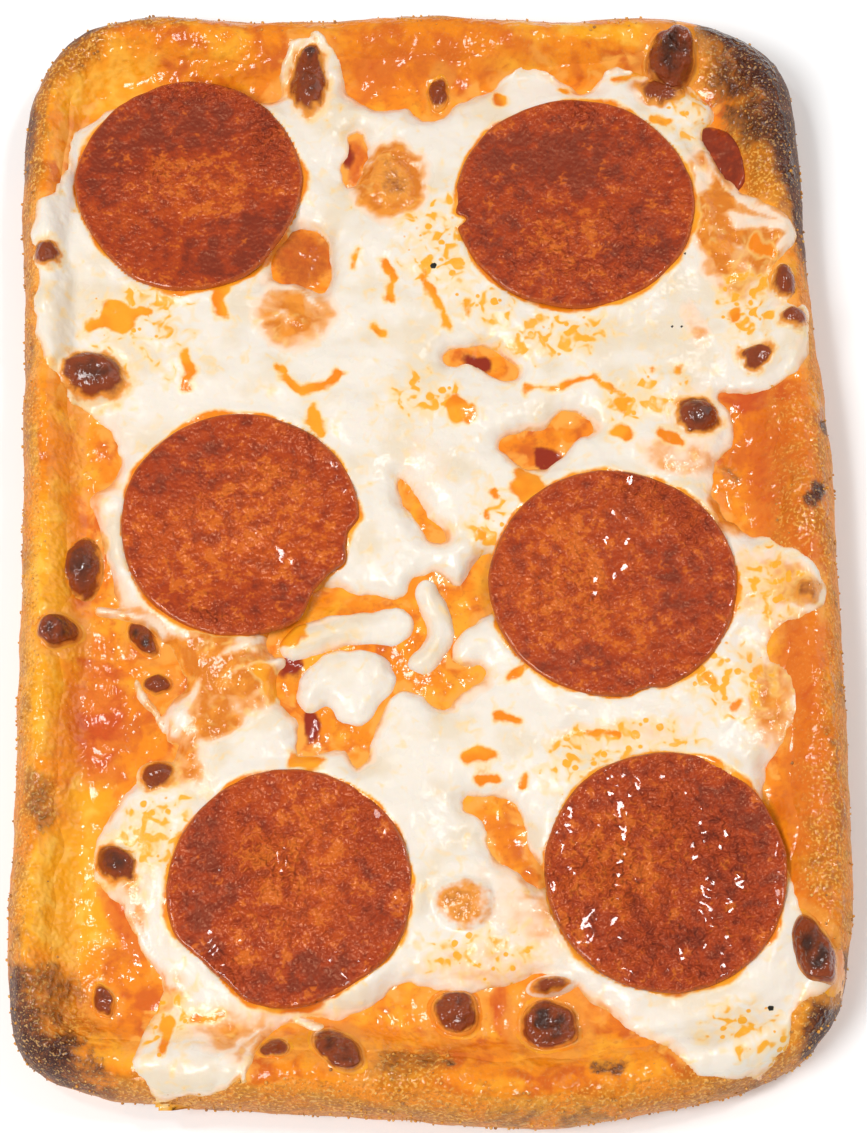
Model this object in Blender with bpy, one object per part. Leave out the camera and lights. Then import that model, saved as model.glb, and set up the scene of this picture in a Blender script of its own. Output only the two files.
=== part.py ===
"""A small rectangular pan pizza with six pepperoni slices, at its real size.

The dough is a shallow dish with a puffed rim. A sheet of tomato sauce lies in
it, melted cheese lies on the sauce, and the pepperoni lies on the cheese. Each
piece is built from the one below it upwards, and comes to rest on what is
already there.

Places and sizes are in millimetres, with +X across the pizza, +Y along it and
+Z up. solid() turns them into metres. The origin is the middle of the underside.
"""

import math

import bmesh
import bpy
import numpy as np
from mathutils import Vector, noise
from mathutils.bvhtree import BVHTree
from mathutils.geometry import delaunay_2d_cdt, interpolate_bezier

MM = 0.001
GAP = 0.35  # left between touching solids

# Dough
CRUST_OUTLINE = (
    (-82.3, 85), (-80.5, 45), (-78.5, -5), (-77.5, -60), (-77, -90), (-73, -103), (-62, -108.8),
    (-42, -111.5), (-10, -113.2), (22, -115.3), (48, -111.7), (67, -106), (77.5, -97), (82, -80),
    (83.2, -55), (83, -10), (83, 15), (81, 40), (79.5, 65), (79, 88), (75.5, 103.3), (63.8, 112.2),
    (51, 115.2), (28, 114.2), (3, 115.6), (-30, 114.2), (-57, 114.6), (-72, 110), (-80, 99),
)
CRUST_SPACING = 8.0
CREST_HEIGHT = 18.0
FLOOR_HEIGHT = 10.0
RIM_WIDTH = 16.0
RIM_WIDTH_LEFT = 12.5
RIM_UNEVENNESS = 0.16
# From the underside over the crest to the floor: (share of the rim's width, share of the crest's height)
RIM_PROFILE = (
    (0.42, 0.0), (0.14, 0.08), (0.02, 0.28), (0.0, 0.50), (0.07, 0.74), (0.22, 0.93),
    (0.42, 1.0), (0.62, 0.92), (0.80, 0.76), (0.93, 0.63), (1.06, FLOOR_HEIGHT / CREST_HEIGHT),
)

# Sauce
SAUCE_THICKNESS = 1.3
SAUCE_RIM_SHARE = 0.82  # how far in from the dough's edge the sauce starts, as a share of the rim's width
SAUCE_SPACING = 14.0

# Cheese
CHEESE_TOP = 14.3
CHEESE_THINNEST = 0.9
CHEESE_EDGE_WIDTH = 3.0
CHEESE_UNEVENNESS = 0.55
CHEESE_SPACING = 7.5
CHEESE_OUTLINE = (
    (-73, 74), (-71, 87), (-62, 94.5), (-49, 95), (-35, 94.5), (-30, 95), (-28.5, 100), (-26, 105.5),
    (-22, 107), (-18, 104.5), (-15.5, 99), (-12, 94.5), (-3, 93), (3, 90.5), (8, 94), (19, 100),
    (24, 101.5), (30, 99.5), (34, 96.5), (39, 101), (46, 101), (54, 99.5), (60, 95), (62, 90),
    (59.5, 86.5), (62, 81), (64.5, 73), (71, 69), (75.5, 65), (76, 60.5), (73, 56), (71, 52.5),
    (72.5, 48), (76.5, 46), (78, 41), (76.5, 34), (72, 30), (66, 29), (60.5, 29.5), (62, 25),
    (61.5, 18.5), (58.5, 12), (60, 5), (64, 0), (69, -1), (73, -5), (78, -10), (79, -15.5),
    (75.5, -19), (69.5, -20.5), (68, -24.5), (71, -29), (72.5, -36), (70, -42.5), (66.5, -49),
    (66, -59), (70, -70), (73, -77), (77, -83), (77.5, -89), (73, -92.5), (68.5, -94.5),
    (68, -99.5), (64, -105), (58, -107.5), (51, -106), (45, -101), (39, -97), (33, -92.5),
    (29, -88.5), (23, -86.5), (18, -88.5), (11, -90), (3, -89.5), (-3, -88.5), (-8, -92.5),
    (-15, -95.5), (-21, -95), (-27, -98), (-31, -104.5), (-34.5, -108.2), (-42, -110), (-50, -108.4),
    (-51.5, -101), (-50, -96), (-47, -90), (-50, -83), (-53, -76), (-58, -72.5), (-61.5, -66.5),
    (-59.5, -58.5), (-56, -52), (-50, -49), (-46, -43), (-49, -37.5), (-45, -32), (-47, -25),
    (-53, -20), (-58, -14.5), (-61, -6), (-63, 2), (-65, 7), (-61, 10), (-59.5, 16), (-62.5, 22.5),
    (-69, 27), (-74, 33), (-76.5, 42), (-77, 52), (-78, 61), (-77, 69),
)
# Openings in the cheese that show the sauce. The first one has the three loose shreds in it.
CHEESE_OPENINGS = (
    ((-19, -11), (-10, -12.5), (-2.5, -13.5), (-1.5, -9), (5, -8.5), (8, -10.5), (12.5, -4.5),
     (15, -5), (15, -15), (10.5, -18.5), (7.5, -22), (6.5, -26), (13, -28.5), (9, -33), (5, -36),
     (-1, -32), (-5.5, -33.5), (-8, -40), (-11.5, -47.5), (-14, -44), (-19, -44.5), (-23, -45),
     (-22.5, -39), (-27, -35), (-26.5, -28), (-30, -22.5), (-27, -18)),
    ((-30, 54.5), (-28, 62), (-24, 66), (-19.5, 64), (-18, 57), (-19, 52), (-25, 53)),
    ((-13, 87.5), (-10.5, 84), (-12, 79), (-14.5, 75.5), (-15, 82)),
    ((5, 38), (11, 40), (16, 38.5), (19.5, 33), (16.5, 32.5), (12, 35)),
    ((16.5, 18), (20, 21.5), (24.5, 22), (29, 25.5), (35, 21.5), (31, 19), (28, 15), (24, 13.5)),
    ((8.5, -54), (13, -53), (18.5, -54), (20.5, -62), (24.5, -71), (19.5, -68.5), (13, -63), (12, -58)),
    ((-4, 11.5), (-1.5, 9.5), (2, 3.5), (5.5, -1.5), (2.5, -1), (-2.5, 6)),
)
SHRED_TOP = 14.0
SHRED_SPACING = 4.0
SHREDS = {
    "cheese_shred_bar": (
        (-24.5, -24.5), (-23, -20.5), (-18, -18.5), (-9, -17.5), (-3.5, -17), (-2, -19.5),
        (-4, -21.5), (-11, -21.8), (-17, -22.8),
    ),
    "cheese_shred_curl": (
        (0, -11.5), (2.5, -10.5), (4, -13), (6, -17), (6.4, -21), (4.5, -25.5), (1, -28.3),
        (-1.5, -26.8), (1, -23.5), (2, -20.5), (1, -16),
    ),
    "cheese_lump": (
        (-18, -25.5), (-11, -24.5), (-6, -26.5), (-5, -30.5), (-8, -35), (-11, -38.5),
        (-14, -38), (-17.5, -34.5), (-21.5, -36), (-23, -32.5),
    ),
}

# Bubbles that rise from the cheese: (x, y, half width, half length, turn in degrees, height)
CHEESE_BUBBLES = (
    (-22.5, 98.5, 4.8, 7.5, 0, 2.6), (73.5, 51.5, 3, 4.5, 0, 2.4), (75, 43, 3.2, 2.6, 0, 1.6),
    (68, 35.5, 5, 4.5, 0, 1.8), (56, 23.5, 5.4, 4, 0, 2.6), (-66, 32.5, 6.6, 5, -12, 3.0),
    (-65, -7.5, 3.6, 5.8, 0, 2.8), (-49.5, -49, 4.2, 2.8, 0, 1.8), (-57.5, -67.2, 4.6, 3.4, -25, 2.4),
    (-75, 56.5, 2.8, 2.8, 0, 1.4), (8.5, -74, 6, 5, 0, 1.4), (75, -13, 3.4, 3.4, 0, 1.8),
    (-6, 76, 6.5, 7.5, 0, 1.8), (-25, 44, 8, 7, 0, 1.6),
)

# Bits of cheese that baked on their own, off the sheet: the same six numbers
BURNT_BITS = {
    "burnt_bit_top": (4, 96.2, 2.6, 4, 0, 2.4),
    "burnt_bit_top_right": (52.5, 102.4, 4.6, 6.4, -8, 4.2),
    "burnt_bit_left_rim": (-69.3, -21.3, 4.2, 3.4, 25, 2.6),
    "burnt_bit_left": (-53.3, -21.8, 4.4, 2.6, -50, 2.4),
    "burnt_bit_left_low": (-50.5, -31, 2.8, 2.4, 0, 2.0),
    "burnt_bit_corner": (-58.5, -92.2, 2.1, 3.5, 20, 1.8),
    "burnt_bit_bottom_small": (-26, -101.8, 3.2, 2, 0, 1.6),
    "burnt_bit_bottom_long": (-14, -101.8, 6.4, 3.6, -35, 2.8),
    "burnt_bit_bottom": (7, -94.4, 5.2, 4.2, -10, 3.4),
    "burnt_bit_black": (24.5, -96.5, 5.4, 4.9, 0, 3.8),
    "burnt_bit_right_rim": (73, -83.5, 3.8, 7.6, 18, 3.4),
}
BIT_SIDES = 12
BIT_WALL = 0.35  # share of its height that stands straight up from its edge

# Pepperoni: (x, y, half width, half length, turn in degrees)
PEPPERONI = {
    "pepperoni_top_left": (-47.0, 74.3, 23.5, 23.6, 0),
    "pepperoni_top_right": (31.8, 70.3, 24.7, 23.6, 0),
    "pepperoni_middle_left": (-34.9, 1.1, 23.6, 23.3, 0),
    "pepperoni_middle_right": (37.8, -11.0, 24.3, 23.3, 0),
    "pepperoni_bottom_left": (-24.0, -71.0, 23.2, 22.7, 0),
    "pepperoni_bottom_right": (46.6, -67.8, 23.0, 23.3, 0),
}
PEPPERONI_THICKNESS = 1.8
PEPPERONI_CURL = 0.6  # how much its edge stands up
PEPPERONI_WAVER = 0.018  # how far its edge strays from a circle, as a share of its radius
PEPPERONI_PRESS = 1.5  # how deep it has sunk into the cheese
PEPPERONI_SIDES = 36
PEPPERONI_SPACING = 8.0
TUCKED_SLICE = ((58, 86), (62, 88), (65.5, 84), (67.3, 78), (66.8, 72.5), (62.5, 74.5), (59.5, 80))
TUCKED_THICKNESS = 1.5

REACH = 0.8  # a piece clears all that lies within this distance of each of its points


def clear_scene():
    for item in list(bpy.data.objects):
        bpy.data.objects.remove(item, do_unlink=True)


def material(name, colour, roughness):
    """A Principled material. colour is linear red, green and blue."""
    made = bpy.data.materials.new(name)
    made.use_nodes = True
    shader = made.node_tree.nodes["Principled BSDF"]
    shader.inputs["Base Color"].default_value = (*colour, 1.0)
    shader.inputs["Roughness"].default_value = roughness
    shader.inputs["Metallic"].default_value = 0.0
    return made


def smoothstep(low, high, value):
    share = np.clip((value - low) / (high - low), 0.0, 1.0)
    return share * share * (3.0 - 2.0 * share)


def unevenness(x, y, scale, seed=0.0):
    """A smooth value from about -1 to 1 that wanders over a distance of about scale."""
    return 1.6 * noise.noise(Vector((x / scale, y / scale, seed)))


# Outlines


def smooth_loop(points, spacing):
    """Points about spacing apart along a smooth closed curve through the given ones, anticlockwise."""
    knots = [Vector((x, y, 0.0)) for x, y in points]
    turning = sum(a.x * b.y - b.x * a.y for a, b in zip(knots, knots[1:] + knots[:1]))
    if turning < 0:
        knots.reverse()
    count = len(knots)
    ahead = []
    for i, knot in enumerate(knots):
        arriving = (knot - knots[i - 1]).normalized()
        leaving = (knots[(i + 1) % count] - knot).normalized()
        ahead.append((arriving + leaving).normalized())
    loop = []
    for i, knot in enumerate(knots):
        after = knots[(i + 1) % count]
        handle = (after - knot).length / 3.0
        steps = max(1, round((after - knot).length / spacing))
        curve = interpolate_bezier(
            knot, knot + ahead[i] * handle, after - ahead[(i + 1) % count] * handle, after, steps + 1
        )
        loop += [point.to_2d() for point in curve[:-1]]
    return loop


def inward_normals(loop):
    """The direction to the inside at each point of an anticlockwise loop, evened out between neighbours."""
    count = len(loop)
    plain = []
    for i in range(count):
        along = (loop[(i + 1) % count] - loop[i - 1]).normalized()
        plain.append(Vector((-along.y, along.x)))
    return [
        (plain[i - 1] + 2.0 * plain[i] + plain[(i + 1) % count]).normalized() for i in range(count)
    ]


def is_inside(x, y, loop):
    """Whether a point lies inside a loop, by counting the sides that a line from it crosses."""
    crossings = 0
    for a, b in zip(loop, loop[1:] + loop[:1]):
        if (a.y > y) != (b.y > y) and x < a.x + (y - a.y) / (b.y - a.y) * (b.x - a.x):
            crossings += 1
    return crossings % 2 == 1


def edge_distance(x, y, loops):
    """The distance from a point to the nearest side of any of the loops."""
    nearest = math.inf
    for loop in loops:
        starts = np.array(loop)
        sides = np.roll(starts, -1, axis=0) - starts
        offset = np.array((x, y)) - starts
        share = np.clip((offset * sides).sum(axis=1) / (sides * sides).sum(axis=1), 0.0, 1.0)
        nearest = min(nearest, np.hypot(*(offset - sides * share[:, None]).T).min())
    return nearest


# Solids


def solid(name, points, faces, finish):
    """The object made of these points, in millimetres, and faces."""
    mesh = bpy.data.meshes.new(name)
    mesh.from_pydata([Vector(point) * MM for point in points], [], faces)
    shape = bmesh.new()
    shape.from_mesh(mesh)
    bmesh.ops.recalc_face_normals(shape, faces=shape.faces)
    shape.to_mesh(mesh)
    shape.free()
    mesh.shade_smooth()
    mesh.materials.append(finish)
    made = bpy.data.objects.new(name, mesh)
    bpy.context.scene.collection.objects.link(made)
    return made


def surface_of(item):
    """What the next pieces come to rest on: the item's faces, in millimetres."""
    points = [vertex.co / MM for vertex in item.data.vertices]
    return BVHTree.FromPolygons(points, [tuple(face.vertices) for face in item.data.polygons])


def rest_height(surfaces, x, y):
    """The height that a piece clears at a point: the highest surface within reach, and the gap."""
    highest = 0.0
    for dx, dy in [(0.0, 0.0), *oval_points((0.0, 0.0, REACH, REACH, 0.0), 1.0, 8)]:
        for surface in surfaces:
            hit = surface.ray_cast(Vector((x + dx, y + dy, 100.0)), Vector((0.0, 0.0, -1.0)))[0]
            if hit is not None:
                highest = max(highest, hit.z)
    return highest + GAP


def raise_clear(points, faces, surfaces):
    """Raises each point whose faces touch a surface, and its twin on the other side, until none does."""
    count = len(points) // 2
    for _ in range(60):
        lowered = BVHTree.FromPolygons([point - Vector((0.0, 0.0, GAP / 2.0)) for point in points], faces)
        touching = {
            i % count for surface in surfaces for face, _ in lowered.overlap(surface) for i in faces[face]
        }
        if not touching:
            return
        for i in touching:
            points[i].z += 0.1
            points[count + i].z += 0.1


def flat_mesh(loops, inner_points):
    """Triangles that fill the first loop but not the others: (points, triangles, places of loop points)."""
    points, sides, places = [], [], []
    for loop in loops:
        first = len(points)
        points += loop
        sides += [(first + i, first + (i + 1) % len(loop)) for i in range(len(loop))]
        places.append(range(first, first + len(loop)))
    points = points + [Vector(point) for point in inner_points]
    found, _, triangles, sources, _, _ = delaunay_2d_cdt(points, sides, [], 0, 1e-4)
    place_of = {source: i for i, group in enumerate(sources) for source in group}
    kept = []
    for triangle in triangles:
        middle = sum((found[i] for i in triangle), Vector((0.0, 0.0))) / 3.0
        if is_inside(*middle, loops[0]) and not any(is_inside(*middle, hole) for hole in loops[1:]):
            kept.append(tuple(triangle))
    return found, kept, [[place_of[i] for i in place] for place in places]


def scattered_points(loops, spacing, extra=()):
    """Points in staggered rows inside the outline, clear of its edges and openings, and the extra ones."""
    xs = [point.x for point in loops[0]]
    ys = [point.y for point in loops[0]]
    row_height = spacing * math.sqrt(3.0) / 2.0
    wanted = list(extra)
    for row in range(int((max(ys) - min(ys)) / row_height) + 1):
        y = min(ys) + row_height * (row + 0.5)
        for column in range(int((max(xs) - min(xs)) / spacing) + 1):
            x = min(xs) + spacing * (column + 0.5 * (row % 2))
            if all(math.hypot(x - px, y - py) > 0.6 * spacing for px, py in extra):
                wanted.append((x, y))
    clear = 0.35 * min(spacing, 4.0)
    return [
        (x, y)
        for x, y in wanted
        if is_inside(x, y, loops[0])
        and not any(is_inside(x, y, hole) for hole in loops[1:])
        and edge_distance(x, y, loops) > clear
    ]


def sheet(name, loops, surfaces, thickness, finish, inner_points):
    """A sheet that fills the first loop, with the others as openings, and lies on the surfaces.

    thickness gives the sheet's thickness from a point and the height of its underside there.
    """
    flat, triangles, rims = flat_mesh(loops, inner_points)
    bases = [Vector((x, y, rest_height(surfaces, x, y))) for x, y in flat]
    tops = [base + Vector((0.0, 0.0, thickness(*base))) for base in bases]
    count = len(flat)
    faces = triangles + [tuple(count + i for i in reversed(triangle)) for triangle in triangles]
    for rim in rims:
        for here, after in zip(rim, rim[1:] + rim[:1]):
            faces.append((here, count + here, count + after, after))
    points = tops + bases
    raise_clear(points, faces, surfaces)
    return solid(name, points, faces, finish)


# Dough


def rim_width(x):
    """The rim is narrower on the left side."""
    return RIM_WIDTH_LEFT + (RIM_WIDTH - RIM_WIDTH_LEFT) * smoothstep(-70.0, -40.0, x)


def crust_rings():
    """The rim's profile carried round the outline: one ring of points for each point of the profile."""
    loop = smooth_loop(CRUST_OUTLINE, CRUST_SPACING)
    inwards = inward_normals(loop)
    rings = []
    for inset, height in RIM_PROFILE:
        ring = []
        for point, inward in zip(loop, inwards):
            place = point + inward * inset * rim_width(point.x)
            above_floor = max(0.0, height * CREST_HEIGHT - FLOOR_HEIGHT)
            swell = above_floor * RIM_UNEVENNESS * unevenness(point.x, point.y, 38.0)
            ring.append((place.x, place.y, height * CREST_HEIGHT + swell))
        rings.append(ring)
    return rings


def crust(finish):
    rings = crust_rings()
    count = len(rings[0])
    points = [point for ring in rings for point in ring]
    faces = [tuple(range(count)), tuple(range(len(points) - count, len(points)))]
    for ring in range(len(rings) - 1):
        for i in range(count):
            after = (i + 1) % count
            here, next_ring = ring * count, (ring + 1) * count
            faces.append((here + i, here + after, next_ring + after, next_ring + i))
    return solid("crust", points, faces, finish)


# Sauce and cheese


def sauce(surfaces, finish):
    loop = smooth_loop(CRUST_OUTLINE, CRUST_SPACING)
    edge = [
        point + inward * SAUCE_RIM_SHARE * rim_width(point.x)
        for point, inward in zip(loop, inward_normals(loop))
    ]

    def thickness(x, y, base):
        return SAUCE_THICKNESS * (0.5 + 0.5 * smoothstep(0.0, 8.0, edge_distance(x, y, [edge])))

    near_edge = [tuple(point + inward * 5.5) for point, inward in zip(edge, inward_normals(edge))]
    inner_points = scattered_points([edge], SAUCE_SPACING, near_edge[::2])
    return sheet("sauce", [edge], surfaces, thickness, finish, inner_points)


def in_oval(x, y, oval):
    """How far out a point is in a turned oval: 0 at its middle and 1 on its edge."""
    middle_x, middle_y, half_width, half_length, turn = oval[:5]
    angle = math.radians(turn)
    dx, dy = x - middle_x, y - middle_y
    across = dx * math.cos(angle) + dy * math.sin(angle)
    along = dy * math.cos(angle) - dx * math.sin(angle)
    return math.hypot(across / half_width, along / half_length)


def bubble_rise(x, y):
    """How much the bubbles lift the cheese at a point."""
    rise = 0.0
    for bubble in CHEESE_BUBBLES:
        out = in_oval(x, y, bubble)
        if out < 1.0:
            rise = max(rise, bubble[5] * math.sqrt(1.0 - out * out))
    return rise


def slice_press(x, y):
    """How much the pepperoni slices have pressed the cheese down at a point."""
    press = 0.0
    for oval in PEPPERONI.values():
        press = max(press, PEPPERONI_PRESS * (1.0 - smoothstep(0.86, 1.08, in_oval(x, y, oval))))
    return press


def oval_points(oval, share, sides):
    """Points round an oval, at a share of its size."""
    middle_x, middle_y, half_width, half_length, turn = oval[:5]
    angle = math.radians(turn)
    found = []
    for k in range(sides):
        across = half_width * share * math.cos(2.0 * math.pi * k / sides)
        along = half_length * share * math.sin(2.0 * math.pi * k / sides)
        found.append((
            middle_x + across * math.cos(angle) - along * math.sin(angle),
            middle_y + across * math.sin(angle) + along * math.cos(angle),
        ))
    return found


def cheese_detail_points():
    """Points that the bubbles and the hollows under the slices need."""
    found = []
    for bubble in CHEESE_BUBBLES:
        found += [bubble[:2], *oval_points(bubble, 0.62, 6), *oval_points(bubble, 1.0, 9)]
    for oval in PEPPERONI.values():
        for share, sides in ((0.85, 16), (1.1, 24)):
            found += [
                (x, y)
                for x, y in oval_points(oval, share, sides)
                if all(in_oval(x, y, bubble) > 1.3 for bubble in CHEESE_BUBBLES)
            ]
    return found


def cheese(surfaces, finish):
    loops = [smooth_loop(CHEESE_OUTLINE, 4.0)]
    loops += [smooth_loop(opening, 3.5) for opening in CHEESE_OPENINGS]

    def thickness(x, y, base):
        level = max(base + 1.7, CHEESE_TOP + CHEESE_UNEVENNESS * unevenness(x, y, 17.0, 5.0))
        full = max(level - base - slice_press(x, y), CHEESE_THINNEST)
        edge = smoothstep(-0.6, CHEESE_EDGE_WIDTH, edge_distance(x, y, loops))
        return CHEESE_THINNEST + (full - CHEESE_THINNEST) * edge + bubble_rise(x, y)

    inner_points = scattered_points(loops, CHEESE_SPACING, cheese_detail_points())
    return sheet("cheese", loops, surfaces, thickness, finish, inner_points)


def shred(name, surfaces, finish):
    """A piece of cheese that lies loose in the sauce between the slices."""
    loop = smooth_loop(SHREDS[name], 3.5)

    def thickness(x, y, base):
        full = SHRED_TOP - base - CHEESE_THINNEST
        return CHEESE_THINNEST + full * smoothstep(-0.6, 2.2, edge_distance(x, y, [loop]))

    return sheet(name, [loop], surfaces, thickness, finish, scattered_points([loop], SHRED_SPACING))


# Toppings


def slice_outline(oval, seed):
    """An oval with a wavering edge."""
    middle = Vector(oval[:2])
    loop = []
    for x, y in oval_points(oval, 1.0, PEPPERONI_SIDES):
        out = Vector((x, y)) - middle
        round_it = out.normalized() * 1.5
        loop.append(middle + out * (1.0 + PEPPERONI_WAVER * unevenness(*round_it, 1.0, seed)))
    return loop


def pepperoni(name, surfaces, finish, seed):
    """A slice that lies in its hollow in the cheese, with its edge standing up a little."""
    oval = PEPPERONI[name]
    loop = slice_outline(oval, seed)

    def thickness(x, y, base):
        return PEPPERONI_THICKNESS + PEPPERONI_CURL * (in_oval(x, y, oval) ** 4 - 0.3)

    inner_points = scattered_points([loop], PEPPERONI_SPACING, oval_points(oval, 0.85, 20))
    return sheet(name, [loop], surfaces, thickness, finish, inner_points)


def tucked_slice(surfaces, finish):
    """The edge of a seventh slice, which lies on the sauce and goes under the cheese."""
    loop = smooth_loop(TUCKED_SLICE, 4.0)

    def thickness(x, y, base):
        return TUCKED_THICKNESS

    return sheet("pepperoni_tucked", [loop], surfaces, thickness, finish, [])


def burnt_bit(name, surfaces, finish):
    """A bit of cheese that has blown up into a dome and browned."""
    bit = BURNT_BITS[name]

    def thickness(x, y, base):
        dome = math.sqrt(max(0.0, 1.0 - in_oval(x, y, bit) ** 2))
        return bit[5] * (BIT_WALL + (1.0 - BIT_WALL) * dome) * (1.0 + 0.12 * unevenness(x, y, 3.0, 9.0))

    loop = [Vector(point) for point in oval_points(bit, 1.0, BIT_SIDES)]
    inner_points = [bit[:2], *oval_points(bit, 0.8, BIT_SIDES), *oval_points(bit, 0.42, BIT_SIDES // 2)]
    return sheet(name, [loop], surfaces, thickness, finish, inner_points)


def build():
    clear_scene()
    dough = material("baked_dough", (0.62, 0.29, 0.07), 0.55)
    tomato = material("tomato_sauce", (0.72, 0.20, 0.02), 0.35)
    mozzarella = material("melted_mozzarella", (0.90, 0.80, 0.62), 0.35)
    salami = material("pepperoni", (0.36, 0.05, 0.018), 0.35)
    browned = material("browned_cheese", (0.10, 0.03, 0.015), 0.35)

    surfaces = [surface_of(crust(dough))]
    surfaces.append(surface_of(sauce(surfaces, tomato)))
    surfaces.append(surface_of(tucked_slice(surfaces, salami)))
    loose = [shred(name, surfaces, mozzarella) for name in SHREDS]
    surfaces.append(surface_of(cheese(surfaces, mozzarella)))
    surfaces += [surface_of(piece) for piece in loose]
    slices = [
        pepperoni(name, surfaces, salami, 2.0 + 3.0 * number) for number, name in enumerate(PEPPERONI)
    ]
    surfaces += [surface_of(piece) for piece in slices]
    for name in BURNT_BITS:
        burnt_bit(name, surfaces, browned)


build()
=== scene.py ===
"""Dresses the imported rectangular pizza: baked dough, sauce, melted cheese and pepperoni.

Each layer is a surface over the plane of the table, worked out in millimetres
from the one below it. Fields such as how deep in the oil a place is, or how
browned, are kept on the meshes as attributes, and the materials read them.
"""

import math

import bpy
import numpy as np
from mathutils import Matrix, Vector, noise
from mathutils.geometry import interpolate_bezier


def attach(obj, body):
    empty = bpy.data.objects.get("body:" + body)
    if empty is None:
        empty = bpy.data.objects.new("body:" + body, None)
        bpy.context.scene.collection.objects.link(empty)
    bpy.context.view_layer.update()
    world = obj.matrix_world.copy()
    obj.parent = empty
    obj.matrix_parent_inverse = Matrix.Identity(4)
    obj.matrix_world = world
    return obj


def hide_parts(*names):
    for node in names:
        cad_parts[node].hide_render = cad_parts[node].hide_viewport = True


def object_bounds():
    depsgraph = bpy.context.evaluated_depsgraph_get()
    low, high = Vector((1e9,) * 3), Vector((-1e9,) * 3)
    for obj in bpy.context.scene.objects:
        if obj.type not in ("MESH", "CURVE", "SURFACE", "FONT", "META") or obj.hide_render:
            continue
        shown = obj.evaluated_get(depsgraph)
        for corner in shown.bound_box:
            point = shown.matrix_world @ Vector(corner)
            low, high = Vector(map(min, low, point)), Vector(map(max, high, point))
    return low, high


bl_info = {
    "name": "Baked pepperoni pizza",
    "version": (1, 0, 0),
    "blender": (4, 5, 0),
    "location": "View3D > Sidebar > Pizza",
    "description": "Makes a small rectangular pepperoni pizza, piece by piece",
    "category": "Add Mesh",
}

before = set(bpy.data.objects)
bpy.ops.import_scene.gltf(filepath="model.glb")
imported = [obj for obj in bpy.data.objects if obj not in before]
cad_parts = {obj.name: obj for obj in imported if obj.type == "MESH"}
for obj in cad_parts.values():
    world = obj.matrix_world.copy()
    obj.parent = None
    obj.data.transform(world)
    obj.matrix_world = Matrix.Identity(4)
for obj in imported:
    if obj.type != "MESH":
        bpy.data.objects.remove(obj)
CAD_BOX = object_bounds()
MM = 0.001

# Places are (x, y) in millimetres. An oval is (x, y, half width, half length, turn in degrees).
# A mark is an oval and how strong it is, which is 1 where it isn't given.

DOUGH_OUTLINE = (
    (-82.3, 85), (-80.5, 45), (-78.5, -5), (-77.5, -60), (-77, -90), (-73, -103), (-62, -108.8), (-42, -111.5),
    (-10, -113.2), (22, -115.3), (48, -111.7), (67, -106), (77.5, -97), (82, -80), (83.2, -55), (83, -10), (83, 15),
    (81, 40), (79.5, 65), (79, 88), (75.5, 103.3), (63.8, 112.2), (51, 115.2), (28, 114.2), (3, 115.6),
    (-30, 114.2), (-57, 114.6), (-72, 110), (-80, 99),
)
# The dough's side, from its underside over the crest to the floor: (share of rim width, share of height)
RIM_PROFILE = (
    (0.42, 0), (0.14, 0.08), (0.02, 0.28), (0, 0.50), (0.07, 0.74), (0.22, 0.93), (0.42, 1), (0.62, 0.92),
    (0.80, 0.76), (0.93, 0.63), (1.06, 0.556),
)
# The sheet of cheese: its outline, the openings in it, and the pieces that lie loose in them
CHEESE_OUTLINE = (
    (-73, 74), (-71, 87), (-62, 94.5), (-49, 95), (-35, 94.5), (-30, 95), (-28.5, 100), (-26, 105.5), (-22, 107),
    (-18, 104.5), (-15.5, 99), (-12, 94.5), (-3, 93), (3, 90.5), (8, 94), (19, 100), (24, 101.5), (30, 99.5),
    (34, 96.5), (39, 101), (46, 101), (54, 99.5), (60, 95), (61.6, 90.8), (58.2, 87.5), (60.2, 82), (62.3, 77.5),
    (65, 73.6), (70, 69.2), (75, 66.3), (76.6, 61.5), (73, 57), (71, 52.5), (72.5, 48), (76.5, 46), (78, 41),
    (76.5, 34), (72, 30), (66, 29), (60.5, 29.5), (62, 25), (61.5, 18.5), (58.5, 12), (60, 5), (64, 0), (69, -1),
    (73, -5), (78, -10), (79, -15.5), (75.5, -19), (69.5, -20.5), (68, -24.5), (71, -29), (72.5, -36), (70, -42.5),
    (66.5, -49), (66, -59), (70, -70), (73, -77), (77, -83), (77.5, -89), (73, -92.5), (68.5, -94.5), (68, -99.5),
    (64, -105), (58, -107.5), (51, -106), (45, -101), (39, -97), (33, -92.5), (29, -88.5), (23, -86.5), (18, -88.5),
    (11, -90), (3, -89.5), (-3, -88.5), (-8, -92.5), (-15, -95.5), (-21, -95), (-27, -98), (-31, -104.5),
    (-34.5, -108.2), (-42, -110), (-50, -108.4), (-51.5, -101), (-50, -96), (-47, -90), (-50, -83), (-53, -76),
    (-58, -72.5), (-61.5, -66.5), (-59.5, -58.5), (-56, -52), (-50, -49), (-46, -43), (-49, -37.5), (-45, -32),
    (-47, -25), (-53, -20), (-58, -14.5), (-61, -6), (-63, 2), (-65, 7), (-61, 10), (-59.5, 16), (-62.5, 22.5),
    (-69, 27), (-74, 33), (-76.5, 42), (-77, 52), (-78, 61), (-77, 69),
)
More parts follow.
